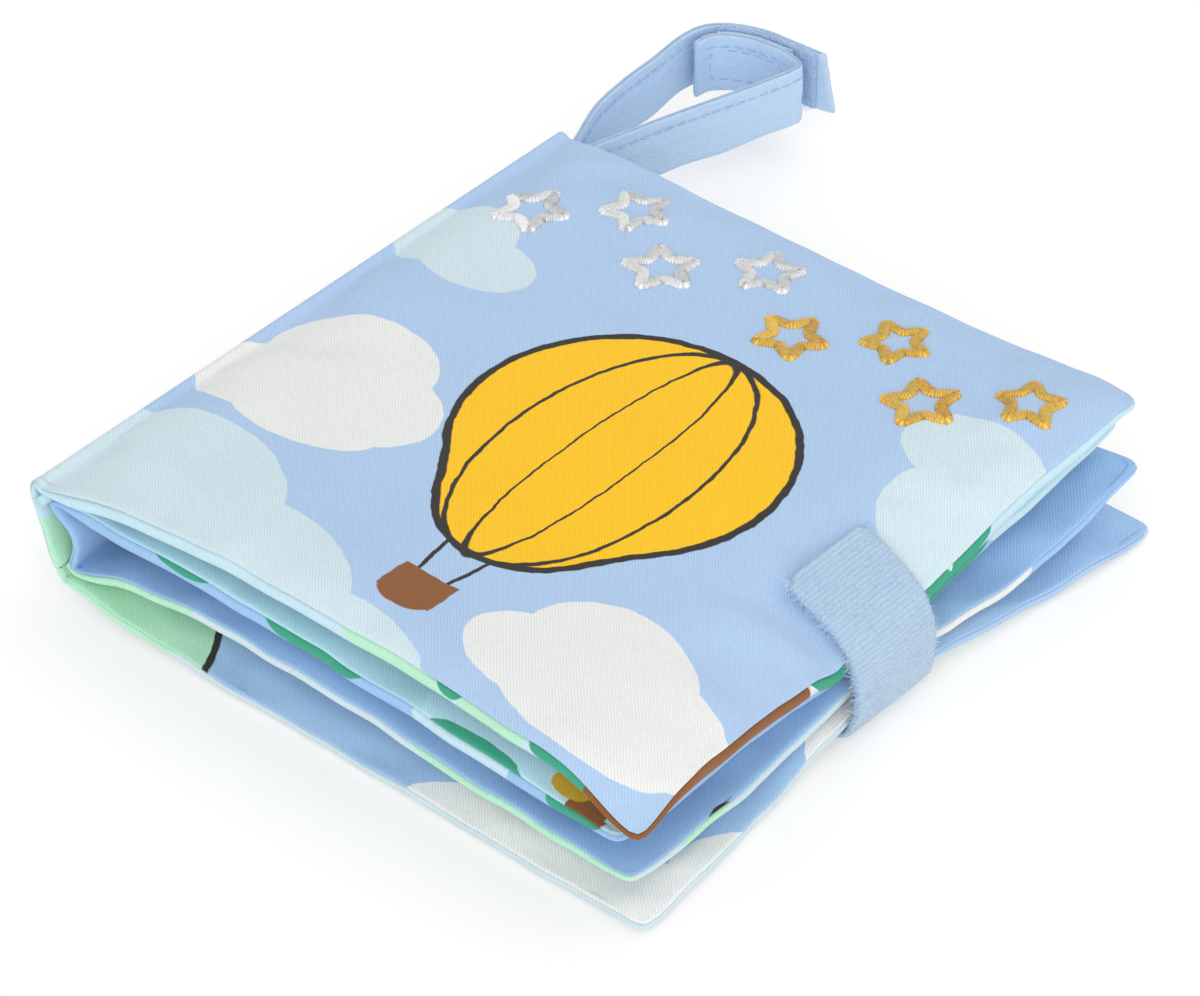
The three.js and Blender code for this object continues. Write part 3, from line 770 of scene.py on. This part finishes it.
def pad_mesh(low, high):
    """A closed pad between two faces, whose edges are rounded off."""
    rows, columns = low.shape[:2]
    edge = edge_loop(rows, columns, closed=True)
    centre = (low + high).reshape(-1, 3).mean(0) / 2
    middle = np.array([(low[i, k] + high[i, k]) / 2 for i, k in edge])
    way = (middle - centre) * (1, 1, 0)
    middle = middle + way / np.linalg.norm(way, axis=1)[:, None] * pad_bulge
    count = rows * columns
    quads = grid_quads(rows, columns, count).tolist() + grid_quads(rows, columns)[:, ::-1].tolist()
    rim = len(edge)
    for k in range(rim):
        n = (k + 1) % rim
        here, there = (edge[j][0] * columns + edge[j][1] for j in (k, n))
        quads.append([here, there, 2 * count + n, 2 * count + k])
        quads.append([2 * count + k, 2 * count + n, count + there, count + here])
    return smooth_mesh(np.concatenate([low.reshape(-1, 3), high.reshape(-1, 3), middle]), quads)


# Polyester wadding, carded and needle-punched: a soft white fleece with clumps and stray fibres
wadding, tree = new_material("polyester_wadding_carded")
clumps = add_node(tree, "ShaderNodeTexNoise", inputs={"Scale": 380.0, "Detail": 5.0, "Roughness": 0.7})
tone = add_node(tree, "ShaderNodeMix", {"data_type": "RGBA"},
                {"Factor": clumps, 6: linear("#E9E9E4"), 7: linear("#FBFBF8")}, output=2)
bump = add_node(tree, "ShaderNodeBump", inputs={"Height": clumps, "Strength": 0.9, "Distance": 0.6 * MM})
surface = add_node(tree, "ShaderNodeBsdfPrincipled", inputs={
    "Base Color": tone, "Roughness": 1.0, "Normal": bump, "Sheen Weight": 0.3})
add_node(tree, "ShaderNodeOutputMaterial", inputs={"Surface": surface})

# Polypropylene film, cast thin and creased: clear, faintly blue, with sharp glints along its creases,
# partly painted highlight, a paler colour there, and partly made by the bump
film, tree = new_material("polypropylene_film_creased")
creases = add_node(tree, "ShaderNodeTexVoronoi", {"feature": "DISTANCE_TO_EDGE"}, {"Scale": 140.0})
creased = add_node(tree, "ShaderNodeMapRange", inputs={"Value": creases, "From Max": 0.12})
tone = add_node(tree, "ShaderNodeMix", {"data_type": "RGBA"},
                {"Factor": creased, 6: linear("#F2F6F8"), 7: linear("#DFE8EC")}, output=2)
bump = add_node(tree, "ShaderNodeBump", inputs={"Height": creased, "Strength": 0.8, "Distance": 0.3 * MM})
surface = add_node(tree, "ShaderNodeBsdfPrincipled", inputs={
    "Base Color": tone, "Roughness": 0.22, "IOR": 1.49, "Transmission Weight": 0.35, "Normal": bump})
add_node(tree, "ShaderNodeOutputMaterial", inputs={"Surface": surface})


def creasing(places):
    """Sharp folds, all over, up and down from the film's plane."""
    heights = [abs(noise.noise(Vector((x / crease_width, y / crease_width, z / crease_depth))))
               for x, y, z in places.reshape(-1, 3)]
    return film_crease * (np.array(heights).reshape(places.shape[:2]) * 4 - 1)


for body, leaf in (("front_cover", front), ("leaf_1", page_one), ("leaf_2", page_two), ("back_cover", back)):
    mesh = pad_mesh(inner_grid(leaf, pad_low), inner_grid(leaf, pad_high))
    pad = add_piece(f"{body}_padding", mesh, wadding)
    softer = pad.modifiers.new("softer", "SUBSURF")
    softer.levels = softer.render_levels = 1
    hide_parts(f"{body}_wadding")
    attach(pad, body)

    # The film keeps its sharp creases, so it isn't shaded smoothly
    spread = inner_grid(leaf, film_level, creasing)
    mesh = bpy.data.meshes.new("film")
    mesh.from_pydata((spread.reshape(-1, 3) * MM).tolist(), [], grid_quads(*spread.shape[:2]).tolist())
    sheet = add_piece(f"{body}_film", mesh, film)
    gauge = sheet.modifiers.new("gauge", "SOLIDIFY")
    gauge.thickness = film_gauge * MM
    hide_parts(f"{body}_crinkle_film")
    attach(sheet, body)


# The closing tab: ribbed loop-pile tape, brushed until it is fuzzy. It is sewn into the back cover's
# fore edge, bulges round the leaves and its free end grips the hook patch on the front cover.
tab_width = 23.2
tab_thickness = 1.5
tab_rib_pitch = 1.05
tab_rib_height = 0.10
tab_rib_waver = 0.9
tab_sag = 0.15
tab_bow = 0.5
tab_uneven = 0.02
tab_line = [(68.0, 1.6), (70.6, 1.9), (72.7, 4.2), (73.7, 7.6), (74.0, 11), (73.8, 15),
            (72.9, 18.8), (71.2, 22.2), (68.6, 25.0), (65.0, 27.5), (61.0, 29.8), (55.9, 32.6)]
tab_step = 0.3
tab_round = 1.6
tab_corner = 0.14
corner_pull = 0.9
corner_narrowing = 0.05


def evenly_along(line, step):
    """Evenly spaced points of a smooth curve through a few."""
    knots = np.array(line, float)
    fine = through(knots, np.linspace(0, len(knots) - 1, 60 * len(knots)))
    travelled = lengths_along(fine)
    steps = np.linspace(0, travelled[-1], round(travelled[-1] / step) + 1)
    return picked(steps, travelled, fine), steps


def ways_along(line):
    """The direction of a line at each of its points."""
    way = np.gradient(line, axis=0)
    return way / np.linalg.norm(way, axis=1, keepdims=True)


def ribbon_mesh(centres, run, side, half_width, thickness, cells, relief, shift, groove=0):
    """A strip with round edges along a line of centres, one of them parted by a groove. Relief raises
    its two faces, and shift moves its edges along it and across it."""
    side = np.array(side, float)
    forward = ways_along(centres)
    out = np.cross(forward, side)
    across = np.linspace(-1, 1, cells + 1)
    turns = np.linspace(0, math.pi, 5)[1:-1]
    bulge = thickness / 2 / half_width
    grooved = cells + 2
    section = [(c, 1) for c in across] + [(1 + math.sin(t) * bulge, math.cos(t)) for t in turns]
    section += [(c, -1) for c in across[::-1]] + [(-1 - math.sin(t) * bulge, -math.cos(t)) for t in turns]
    points, flats = [], []
    for k, centre in enumerate(centres):
        parted = groove * smooth(min(run[k] - run[0], run[-1] - run[k]) / 2)
        for j, (c, o) in enumerate(section):
            if j == grooved:
                c -= parted * bulge
            along, sideways, narrower = shift(run[k], c)
            aside = c * half_width * narrower + sideways
            raised = thickness / 2 + (relief(run[k], c) if abs(o) == 1 else 0)
            points.append(centre + forward[k] * along + side * aside + out[k] * o * raised)
            flats.append((run[k], c * half_width, o))
    around = len(section)
    quads = []
    for k in range(len(centres) - 1):
        for j in range(around):
            n = (j + 1) % around
            quads.append([k * around + j, (k + 1) * around + j, (k + 1) * around + n, k * around + n])

    # The two ends: quads between the faces, and one rounded face at each edge
    opposite = 2 * cells + 1 + len(turns)
    for first, turned in ((0, False), ((len(centres) - 1) * around, True)):
        caps = [[j, j + 1, opposite - j - 1, opposite - j] for j in range(cells)]
        caps.append(list(range(cells, cells + len(turns) + 2)))
        caps.append(list(range(opposite, around)) + [0])
        for cap in caps:
            cap = [first + j for j in cap]
            quads.append(cap[::-1] if turned else cap)
    return smooth_mesh(points, quads, flats)


def loop_pile(name, rib_depth, dark, light):
    """Nylon loops, knitted and brushed: pale blue and soft, with darker lines where ribs part the loops,
    painted shade.
    """
    material, tree = new_material(name)
    attribute = add_node(tree, "ShaderNodeAttribute", {"attribute_name": "cloth_mm"}, output=1)
    valleys = add_node(tree, "ShaderNodeTexWave", {"wave_type": "BANDS", "bands_direction": "X"},
                       {"Vector": attribute, "Scale": math.pi / (10 * tab_rib_pitch), "Distortion": 2.2,
                        "Detail": 2.0, "Detail Scale": 1.6}, output=1)
    loops = add_node(tree, "ShaderNodeMapping", inputs={"Vector": attribute, "Scale": (1.5, 0.8, 1)})
    tufts = add_node(tree, "ShaderNodeTexNoise", inputs={"Vector": loops, "Scale": 1.7, "Detail": 4.0,
                                                         "Roughness": 0.8})
    nap = add_node(tree, "ShaderNodeMath", {"operation": "MULTIPLY_ADD"},
                   {0: valleys, 1: rib_depth, 2: tufts})
    tone = add_node(tree, "ShaderNodeMapRange", inputs={"Value": nap, "From Min": 0.34,
                                                        "From Max": 0.62 + rib_depth})
    # The colour runs from the dark one, painted shade in the rib valleys, to the light one, with uneven tone
    # over the tufts
    pile_colour = add_node(tree, "ShaderNodeMix", {"data_type": "RGBA"},
                           {"Factor": tone, 6: linear(dark), 7: linear(light)}, output=2)
    bump = add_node(tree, "ShaderNodeBump", inputs={"Height": nap, "Strength": 0.8, "Distance": 0.35 * MM})
    surface = add_node(tree, "ShaderNodeBsdfPrincipled", inputs={
        "Base Color": pile_colour, "Roughness": 1.0, "Normal": bump, "Sheen Weight": 0.4,
        "Sheen Roughness": 0.6, "Specular IOR Level": 0.1})
    add_node(tree, "ShaderNodeOutputMaterial", inputs={"Surface": surface})
    return material


# On the tab, the darker colour is painted shade in the valleys between the ribs
ribbed_pile = loop_pile("nylon_loop_pile_ribbed", 0.2, "#98B9D7", "#C2D8EA")

tab_profile, tab_run = evenly_along(tab_line, tab_step)
tab_centres = np.stack([tab_profile[:, 0], np.zeros(len(tab_profile)), tab_profile[:, 1]], axis=1)
tab_length = tab_run[-1]


def tab_relief(run, across):
    """Wavering ribs on a face that sags here and there."""
    waver = tab_rib_waver * noise.noise(Vector((run / 6, across * 2, 0)))
    rib = tab_rib_height * math.cos(2 * math.pi * run / tab_rib_pitch + waver)
    return rib + tab_sag * noise.noise(Vector((run / 14, across * 1.3, 4)))


def tab_shift(run, across):
    """The tape bows to one side, its edges are a little uneven, and its free corners are rounded."""
    bow = tab_bow * math.sin(math.pi * run / tab_length)
    corner = smooth((run - tab_length + tab_round) / tab_round)
    corner *= smooth((abs(across) - 1 + tab_corner) / tab_corner)
    uneven = tab_uneven * noise.noise(Vector((run / 5, 0, 9)))
    return -corner_pull * corner, bow, 1 + uneven - corner_narrowing * corner


tab_mesh = ribbon_mesh(tab_centres, tab_run, (0, 1, 0), tab_width / 2, tab_thickness, 26, tab_relief,
                       tab_shift)
tab = add_piece("closing_tab_tape", tab_mesh, ribbed_pile)
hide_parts("closure_tab")
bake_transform(tab)


# The hanging strap: two folded and topstitched cloth straps, sewn on edge into the head of the
# spine. The outer one is faced with loop tape, and the inner one comes round beside it to grip it.
strap_reach = 66
strap_width = 13.6
strap_gauge = 1.3
strap_bottom = 10.2
strap_root = np.array([-77.7, 80.8])
strap_pitch = 4.0
strap_step = 1.0
edge_groove = 1.7
hem_share = 0.62
hem_width = 0.06
hem_depth = 0.24
hem_pucker = 0.14
strap_waver = 0.22
strap_sway = 0.5
end_slant = 1.3
slant_reach = 12
outer_shares = [(-0.012, 0), (-0.045, 0.08), (-0.11, 0.25), (-0.138, 0.43), (-0.146, 0.58), (-0.16, 0.74),
                (-0.145, 0.84), (-0.08, 0.91), (0.03, 0.955), (0.15, 0.965), (0.25, 0.97), (0.285, 0.975)]
inner_shares = [(0.012, 0), (0.035, 0.09), (0.072, 0.223), (0.125, 0.407), (0.182, 0.587), (0.228, 0.739),
                (0.25, 0.83), (0.245, 0.88)]
return_shares = 0.895, 0.86, 0.82, 0.78, 0.74, 0.70, 0.66, 0.62, 0.58
outer_knots = [strap_root + strap_reach * np.array(s) for s in outer_shares]
outer_line, outer_run = evenly_along(outer_knots, strap_step)
facing = ways_along(outer_line)[:, ::-1] * (1, -1)
return_places = [round(share * (len(outer_line) - 1)) for share in return_shares]
inner_knots = [strap_root + strap_reach * np.array(s) for s in inner_shares]
inner_knots += [outer_line[k] + facing[k] * strap_pitch for k in return_places]
inner_line, inner_run = evenly_along(inner_knots, strap_step)


def on_edge(line):
    height = strap_bottom + strap_width / 2
    return np.stack([line[:, 0], line[:, 1], np.full(len(line), height)], axis=1)


def strap_relief(run, across):
    """The stitched hem is drawn in along the upper edge, where the cloth puckers, and all of it wavers."""
    hem = hem_depth * math.exp(-((across - hem_share) / hem_width) ** 2)
    pucker = hem_pucker * noise.noise(Vector((run / 1.6, 0, 3))) * smooth((across - 0.4) / 0.2)
    return strap_waver * noise.noise(Vector((run / 7, across * 3, 2))) + pucker - hem


def strap_shift(run, across):
    """The lower edge hangs unevenly."""
    hanging = smooth((0.2 - across) / 1.2)
    return 0, strap_sway * noise.noise(Vector((run / 11, 0, 6))) * hanging, 1


def leaning_shift(run, across):
    """The outer strap's free end is cut on a slant."""
    _, sideways, narrower = strap_shift(run, across)
    near_end = smooth((run - outer_run[-1] + slant_reach) / slant_reach)
    return end_slant * (0.6 - across) * near_end, sideways, narrower


strap_cloth = printed_twill("plain_twill_strap", "#BED7F2", [], 90)
for half, line, run, shift in (("outer", outer_line, outer_run, leaning_shift),
                               ("inner", inner_line, inner_run, strap_shift)):
    mesh = ribbon_mesh(on_edge(line), run, (0, 0, 1), strap_width / 2, strap_gauge, 20, strap_relief, shift,
                       edge_groove)
    strap = add_piece(f"hanging_strap_{half}", mesh, strap_cloth)
    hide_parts(f"strap_{half}")
    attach(strap, f"{half}_strap")
    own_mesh(strap)


# Fuzz on the tab and the strap's tape: nylon fibres that brushing has pulled out of the pile, short
# and curled. Each is a fine ribbon, held at its root, and so rides with its tape.
fibre_gauge = 0.13
fibre_shares = 0, 0.35, 0.7, 1
fibre_lengths = 0.5, 1.5
fibre_lean = 0.75
fibre_curl = 0.54
fibre_taper = 0.7
usual_reach = 1.6
face_lift = 0.7
edge_share = 0.5
tab_fibres, tape_fibres = 5200, 1500


def fibre_mesh(roots, ways, lengths, seed):
    """Curled fibres on a surface, from their roots, each way out and each length."""
    draw = np.random.default_rng(seed)
    points, quads = [], []
    for root, way, length in zip(roots, ways, lengths):
        lean = draw.normal(size=3) * fibre_lean
        curl = draw.normal(size=3) * fibre_curl
        first = len(points)
        across = np.cross(way + lean, curl)
        across *= fibre_gauge / 2 / max(np.linalg.norm(across), 1e-6)
        for share in fibre_shares:
            spot = root + (way * share + lean * share + curl * share * share) * length / usual_reach
            taper = 1 - fibre_taper * share
            points += [spot - across * taper, spot + across * taper]
        quads += [[first + 2 * k, first + 2 * k + 1, first + 2 * k + 3, first + 2 * k + 2] for k in range(3)]
    return smooth_mesh(points, quads)


# Loose nylon fibre, fine and bright at its edges
fibre, tree = new_material("nylon_fibre_loose")
surface = add_node(tree, "ShaderNodeBsdfPrincipled", inputs={
    "Base Color": linear("#C4DAF0"), "Roughness": 0.9, "Sheen Weight": 0.5})
add_node(tree, "ShaderNodeOutputMaterial", inputs={"Surface": surface})


def ribbon_fuzz(centres, side, half_width, thickness, count, seed):
    """Fibres on the two faces of a strip, and as many along its two edges."""
    draw = np.random.default_rng(seed)
    side = np.array(side, float)
    out = np.cross(ways_along(centres), side)
    roots, ways, lengths = [], [], []
    for _ in range(count):
        k = draw.integers(1, len(centres) - 1)
        if draw.random() < edge_share:
            edge = draw.choice((-1, 1))
            up = draw.uniform(-0.5, 0.5)
            roots.append(centres[k] + side * edge * half_width + out[k] * up * thickness)
            ways.append(side * edge)
        else:
            face = draw.choice((1, -1))
            across = draw.uniform(-1, 1)
            roots.append(centres[k] + side * across * half_width + out[k] * face * thickness / 2)
            ways.append(out[k] * face * face_lift)
        lengths.append(draw.uniform(*fibre_lengths))
    return fibre_mesh(roots, ways, lengths, seed + 1)


# The tab's first stretch is in the seam and has no fuzz
tab_seam = 6
free_tab = tab_centres[round(tab_seam / tab_step):]
tab_fuzz = add_piece("closing_tab_fuzz",
                     ribbon_fuzz(free_tab, (0, 1, 0), tab_width / 2, tab_thickness, tab_fibres, 11), fibre)
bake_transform(tab_fuzz)


# The loop tape that faces the outer strap: brushed nylon loops, sewn on along its hem. It is nearly
# as wide as the strap, and its fuzz stands up past the strap's top edge.
patch_start, patch_end = 27 / 40, 39 / 40
patch_places = slice(round(patch_start * len(outer_line)), round(patch_end * len(outer_line)))
tape_gauge = 0.9
tape_width = strap_width - 0.2
tape_roughness = 0.34
fuzz_width = strap_width + 0.2
tape_centres = on_edge((outer_line + facing * (strap_gauge + tape_gauge) / 2)[patch_places])
tape_run = outer_run[patch_places]


def tape_relief(run, across):
    return tape_roughness * noise.noise(Vector((run / 1.1, across * 7, 1)))


tape_mesh = ribbon_mesh(tape_centres, tape_run, (0, 0, 1), tape_width / 2, tape_gauge, 24, tape_relief,
                        lambda run, across: (0, 0, 1))
brushed_pile = loop_pile("nylon_loop_pile_brushed", 0.0, "#86AADA", "#BCD3F0")
strap_tape = add_piece("hanging_strap_loop_tape", tape_mesh, brushed_pile)
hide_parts("strap_loop_patch")
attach(strap_tape, "outer_strap")
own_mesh(strap_tape)
tape_fuzz = ribbon_fuzz(tape_centres, (0, 0, 1), fuzz_width / 2, tape_gauge, tape_fibres, 23)
strap_fuzz = add_piece("hanging_strap_fuzz", tape_fuzz, fibre)
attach(strap_fuzz, "outer_strap")
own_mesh(strap_fuzz)


# Hook tape, moulded nylon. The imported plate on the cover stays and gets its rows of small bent
# hooks. The strap's plate is hidden between its halves, and a copy of it lies down with them.
hook_pitch = 1.5
hook_height = 1.0
hook_gauge = 0.11
hook_shape = (-0.1, 0), (0.55, 0), (0.9, 0.14), (1, 0.38), (0.78, 0.56)
first_hook, last_hook = 0.8, 0.6
ray_length = 40
wire_sides = 5
wire_end = 0.55
nylon, tree = new_material("nylon_hook_tape_moulded")
grain = add_node(tree, "ShaderNodeTexNoise", inputs={"Scale": 900.0, "Detail": 3.0})
tone = add_node(tree, "ShaderNodeMix", {"data_type": "RGBA"},
                {"Factor": grain, 6: linear("#A7C4E6"), 7: linear("#BDD3EE")}, output=2)
bump = add_node(tree, "ShaderNodeBump", inputs={"Height": grain, "Strength": 0.4, "Distance": 0.1 * MM})
surface = add_node(tree, "ShaderNodeBsdfPrincipled", inputs={
    "Base Color": tone, "Roughness": 0.45, "IOR": 1.53, "Normal": bump})
add_node(tree, "ShaderNodeOutputMaterial", inputs={"Surface": surface})
cover_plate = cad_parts["cover_hook_patch"].data
cover_plate.materials.clear()
cover_plate.materials.append(nylon)
strap_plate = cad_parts["strap_hook_patch"].data.copy()
strap_plate.materials.clear()
strap_hooks = add_piece("hanging_strap_hook_tape", strap_plate, nylon)
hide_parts("strap_hook_patch")
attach(strap_hooks, "inner_strap")
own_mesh(strap_hooks)


def tube_mesh(paths, gauge):
    """Round wires or threads along short paths, closed at both ends."""
    points, faces = [], []
    for path in paths:
        first = len(points)
        for k, (spot, way) in enumerate(zip(path, ways_along(np.array(path, float)))):
            one = np.cross(way, (0.3, 0.5, 0.81))
            one /= np.linalg.norm(one)
            two = np.cross(way, one)
            swell = wire_end if k in (0, len(path) - 1) else 1
            for j in range(wire_sides):
                turn = 2 * math.pi * j / wire_sides
                points.append(spot + (one * math.cos(turn) + two * math.sin(turn)) * gauge / 2 * swell)
        for k in range(len(path) - 1):
            for j in range(wire_sides):
                n = (j + 1) % wire_sides
                a = first + k * wire_sides
                faces.append([a + j, a + n, a + wire_sides + n, a + wire_sides + j])
        faces.append([first + j for j in range(wire_sides)][::-1])
        faces.append([first + (len(path) - 1) * wire_sides + j for j in range(wire_sides)])
    return smooth_mesh(points, faces)


def hooks_on(plate, out, along, across):
    """Rows of hooks over one face of a plate: every place where a ray against its outward way meets it."""
    low, high = (np.array(corner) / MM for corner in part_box(plate))
    out, along, across = (np.array(way, float) for way in (out, along, across))
    centre = (low + high) / 2
    reach = (abs(along.dot(high - low)) / 2, abs(across.dot(high - low)) / 2)
    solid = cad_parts[plate]
    paths = []
    for k, a in enumerate(np.arange(-reach[0] + first_hook, reach[0] - last_hook, hook_pitch)):
        for b in np.arange(-reach[1] + first_hook, reach[1] - last_hook, hook_pitch):
            start = centre + along * a + across * b + out * ray_length
            hit, spot, _, _ = solid.ray_cast(Vector(start) * MM, Vector(-out))
            if not hit:
                continue
            spot = np.array(spot) / MM
            bend = along * (1 if k % 2 else -1)
            paths.append([spot + out * up * hook_height + bend * over for up, over in hook_shape])
    return tube_mesh(paths, 2 * hook_gauge)


cover_hooks = add_piece("cover_hook_patch_hooks",
                        hooks_on("cover_hook_patch", (0, 0, 1), (0, 1, 0), (1, 0, 0)), nylon)
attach(cover_hooks, "front_cover")


# Stars on the front cover, in satin stitch: polyester thread laid side by side across each line,
# over an underlay that lifts it to a soft ridge. Four are silver white and four are gold. Real
# threads lie about 0.25 mm apart, and these are drawn twice as coarse, so that they show.
thread_pitch = 0.5
ridge_height = 0.9
line_share = 0.78
line_width_share = 0.135
waist_share = 0.5
star_points = 5
corner_cut = 0.1
low_thread = 0.72
thread_pull = 0.13
ridge_roundness = 0.75
stitch_sink = 0.08
ridge_base = 0.3


def satin_material(name, dark, light):
    material, tree = new_material(name)
    attribute = add_node(tree, "ShaderNodeAttribute", {"attribute_name": "cloth_mm"}, output=1)
    threads = add_node(tree, "ShaderNodeTexWave", {"wave_type": "BANDS", "bands_direction": "X"},
                       {"Vector": attribute, "Scale": math.pi / (10 * thread_pitch), "Distortion": 0.5,
                        "Detail": 1.0, "Detail Scale": 2.0}, output=1)
    uneven = add_node(tree, "ShaderNodeTexNoise", inputs={"Vector": attribute, "Scale": 1.1, "Detail": 2.0})
    # Across each thread the colour runs from the dark one, painted shade between threads, to the light one,
    # painted highlight on their crowns, with uneven tone
    tone = add_node(tree, "ShaderNodeMath", {"operation": "MULTIPLY_ADD"}, {0: threads, 1: 0.55, 2: uneven})
    tone = add_node(tree, "ShaderNodeMapRange", inputs={"Value": tone, "From Min": 0.35, "From Max": 1.0})
    colour = add_node(tree, "ShaderNodeMix", {"data_type": "RGBA"},
                      {"Factor": tone, 6: linear(dark), 7: linear(light)}, output=2)
    bump = add_node(tree, "ShaderNodeBump",
                    inputs={"Height": threads, "Strength": 0.7, "Distance": 0.15 * MM})
    surface = add_node(tree, "ShaderNodeBsdfPrincipled", inputs={
        "Base Color": colour, "Roughness": 0.42, "Normal": bump, "Specular IOR Level": 0.5,
        "Sheen Weight": 0.15})
    add_node(tree, "ShaderNodeOutputMaterial", inputs={"Surface": surface})
    return material


bpy.context.view_layer.update()
dressed_cover = front_outer.evaluated_get(bpy.context.evaluated_depsgraph_get())


def cover_height(x, y):
    """Where a plumb line from well above the book meets the cover's outer panel."""
    well_above = 80
    hit, spot, _, _ = dressed_cover.ray_cast(mm(x, y, well_above), Vector((0, 0, -1)))
    return spot.z / MM if hit else 0


def star_mesh(node):
    """The satin-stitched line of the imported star, round its points."""
    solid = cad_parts[node].data
    corners = np.array(sorted({(round(v.co.x / MM, 2), round(v.co.y / MM, 2)) for v in solid.vertices}))
    centre = corners.mean(0)
    away = corners - centre
    far = np.linalg.norm(away, axis=1)
    radius, turn = far.max(), math.atan2(*away[far.argmax()][::-1])
    line = []
    for k in range(2 * star_points):
        reach = radius * line_share * (1 if k % 2 == 0 else waist_share)
        angle = turn + math.pi * k / star_points
        line.append(centre + reach * np.array([math.cos(angle), math.sin(angle)]))
    line = np.array(line)
    ahead = np.roll(line, -1, axis=0)
    cut = [(1 - share) * line + share * ahead for share in (corner_cut, 1 - corner_cut)]
    line = np.stack(cut, axis=1).reshape(-1, 2)
    closed = np.concatenate([line, line[:1]])
    travelled = lengths_along(closed)
    count = 2 * round(travelled[-1] / thread_pitch)
    steps = np.linspace(0, travelled[-1], count + 1)[:-1]
    path = picked(steps, travelled, closed)
    forward = np.roll(path, -2, axis=0) - np.roll(path, 2, axis=0)
    across = forward[:, ::-1] * (1, -1) / np.linalg.norm(forward, axis=1, keepdims=True)
    angles = np.linspace(0, math.pi, 9)
    points, flats = [], []
    for k, spot in enumerate(path):
        proud = 1 if k % 2 else low_thread
        pulled = thread_pull * noise.noise(Vector((k * 0.83, radius, turn)))
        half = radius * line_width_share * (0.6 + 0.5 * proud + pulled)
        for angle in angles:
            x, y = spot - across[k] * math.cos(angle) * half
            lift = ridge_height * proud * math.sin(angle) ** ridge_roundness
            points.append((x, y, cover_height(x, y) + lift - stitch_sink))
            flats.append((steps[k], -math.cos(angle) * half, 0))
        x, y = spot
        points.append((x, y, cover_height(x, y) - ridge_base))
        flats.append((steps[k], 0, -1))
    around = len(angles) + 1
    quads = []
    for k in range(count):
        here, there = k * around, (k + 1) % count * around
        for j in range(around):
            n = (j + 1) % around
            quads.append([here + j, there + j, there + n, here + n])
    return smooth_mesh(points, quads, flats)


# The darker colour of each thread is painted shade, and the lighter one painted highlight
silver = satin_material("polyester_thread_silver_white", "#C4C6C6", "#FAFAF8")
gold = satin_material("polyester_thread_gold", "#C2891C", "#F8CC55")
for colour_name, thread in (("silver", silver), ("gold", gold)):
    for k in range(1, 5):
        star = add_piece(f"{colour_name}_stitched_star_{k}", star_mesh(f"{colour_name}_star_{k}"), thread)
        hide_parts(f"{colour_name}_star_{k}")
        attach(star, "front_cover")


# Topstitching: lockstitches of sky-blue polyester thread, each sunk at its ends, along both folds
# of the spine, along the straps, and in a rectangle that holds the hook tape on the inner strap.
stitch_length = 2.5
stitch_gap = 0.6
first_stitch = 0.8
stitch_shape = (0, -0.22), (0.12, 0.04), (0.5, 0.14), (0.88, 0.04), (1, -0.22)
thread_gauge = 0.38
thread_sink = 0.12
route_step = 0.5
wall_heights = 23.6, 10.5
sewing_thread, tree = new_material("polyester_sewing_thread_spun")
twist = add_node(tree, "ShaderNodeTexNoise", inputs={"Scale": 2500.0, "Detail": 2.0})
tone = add_node(tree, "ShaderNodeMix", {"data_type": "RGBA"},
                {"Factor": twist, 6: linear("#86A9DA"), 7: linear("#B7CFF0")}, output=2)
surface = add_node(tree, "ShaderNodeBsdfPrincipled", inputs={
    "Base Color": tone, "Roughness": 0.65, "Sheen Weight": 0.2})
add_node(tree, "ShaderNodeOutputMaterial", inputs={"Surface": surface})


def stitches_along(line, ups):
    """The paths of stitches along a line on cloth, with the way out of the cloth at each place."""
    travelled = lengths_along(line)
    paths = []
    start = first_stitch
    while start + stitch_length < travelled[-1]:
        up = picked(start, travelled, ups)
        paths.append([picked(start + stitch_length * share, travelled, line) + up * lift
                      for share, lift in stitch_shape])
        start += stitch_length + stitch_gap
    return paths


wall_paths = []
for height in wall_heights:
    column = int(np.abs(front["middle"][0, :front["folds"], 2] - height).argmin())
    wall_paths += stitches_along(front["top"][:, column], front["normal"][:, column])
spine_thread = add_piece("spine_topstitching", tube_mesh(wall_paths, thread_gauge), sewing_thread)
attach(spine_thread, "spine")


def strap_stitches(line, run, face, route):
    """Stitches on a face of a strap, along a route of places along it and up from its middle."""
    route = evenly_along(route, route_step)[0]
    centres = on_edge(line)
    out = np.cross(ways_along(centres), (0, 0, 1)) * face
    places, ways = (picked(route[:, 0], run, values) for values in (centres, out))
    places = places + ways * (strap_gauge / 2 - thread_sink)
    places[:, 2] += route[:, 1]
    return stitches_along(places, ways)


hem_up = hem_share * strap_width / 2
hem_start, hem_end = 0.5, 0.8
box_from_end = 13.2
outer_paths, inner_paths = [], []
for paths, line, run in ((outer_paths, outer_line, outer_run), (inner_paths, inner_line, inner_run)):
    for face in (1, -1):
        paths += strap_stitches(line, run, face, [(hem_start, hem_up), (run[-1] - hem_end, hem_up)])

# The rectangle on the inner strap, with rounded corners
box_middle = inner_run[-1] - box_from_end
box_reach, box_low, box_high, box_corner = 9.2, -4.3, 3.3, 1.8
box_route = []
for side, up, start in ((1, box_high, 90), (1, box_low, 0), (-1, box_low, 270), (-1, box_high, 180)):
    for turn in np.radians(np.linspace(start, start - 90, 4)):
        box_route.append((box_middle + side * (box_reach - box_corner) + box_corner * math.cos(turn),
                          up - box_corner * math.copysign(1, up) + box_corner * math.sin(turn)))
box_route.append(box_route[0])
inner_paths += strap_stitches(inner_line, inner_run, -1, box_route)
for half, paths in (("outer", outer_paths), ("inner", inner_paths)):
    thread = add_piece(f"strap_{half}_topstitching", tube_mesh(paths, thread_gauge), sewing_thread)
    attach(thread, f"{half}_strap")
    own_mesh(thread)


bpy.context.view_layer.update()
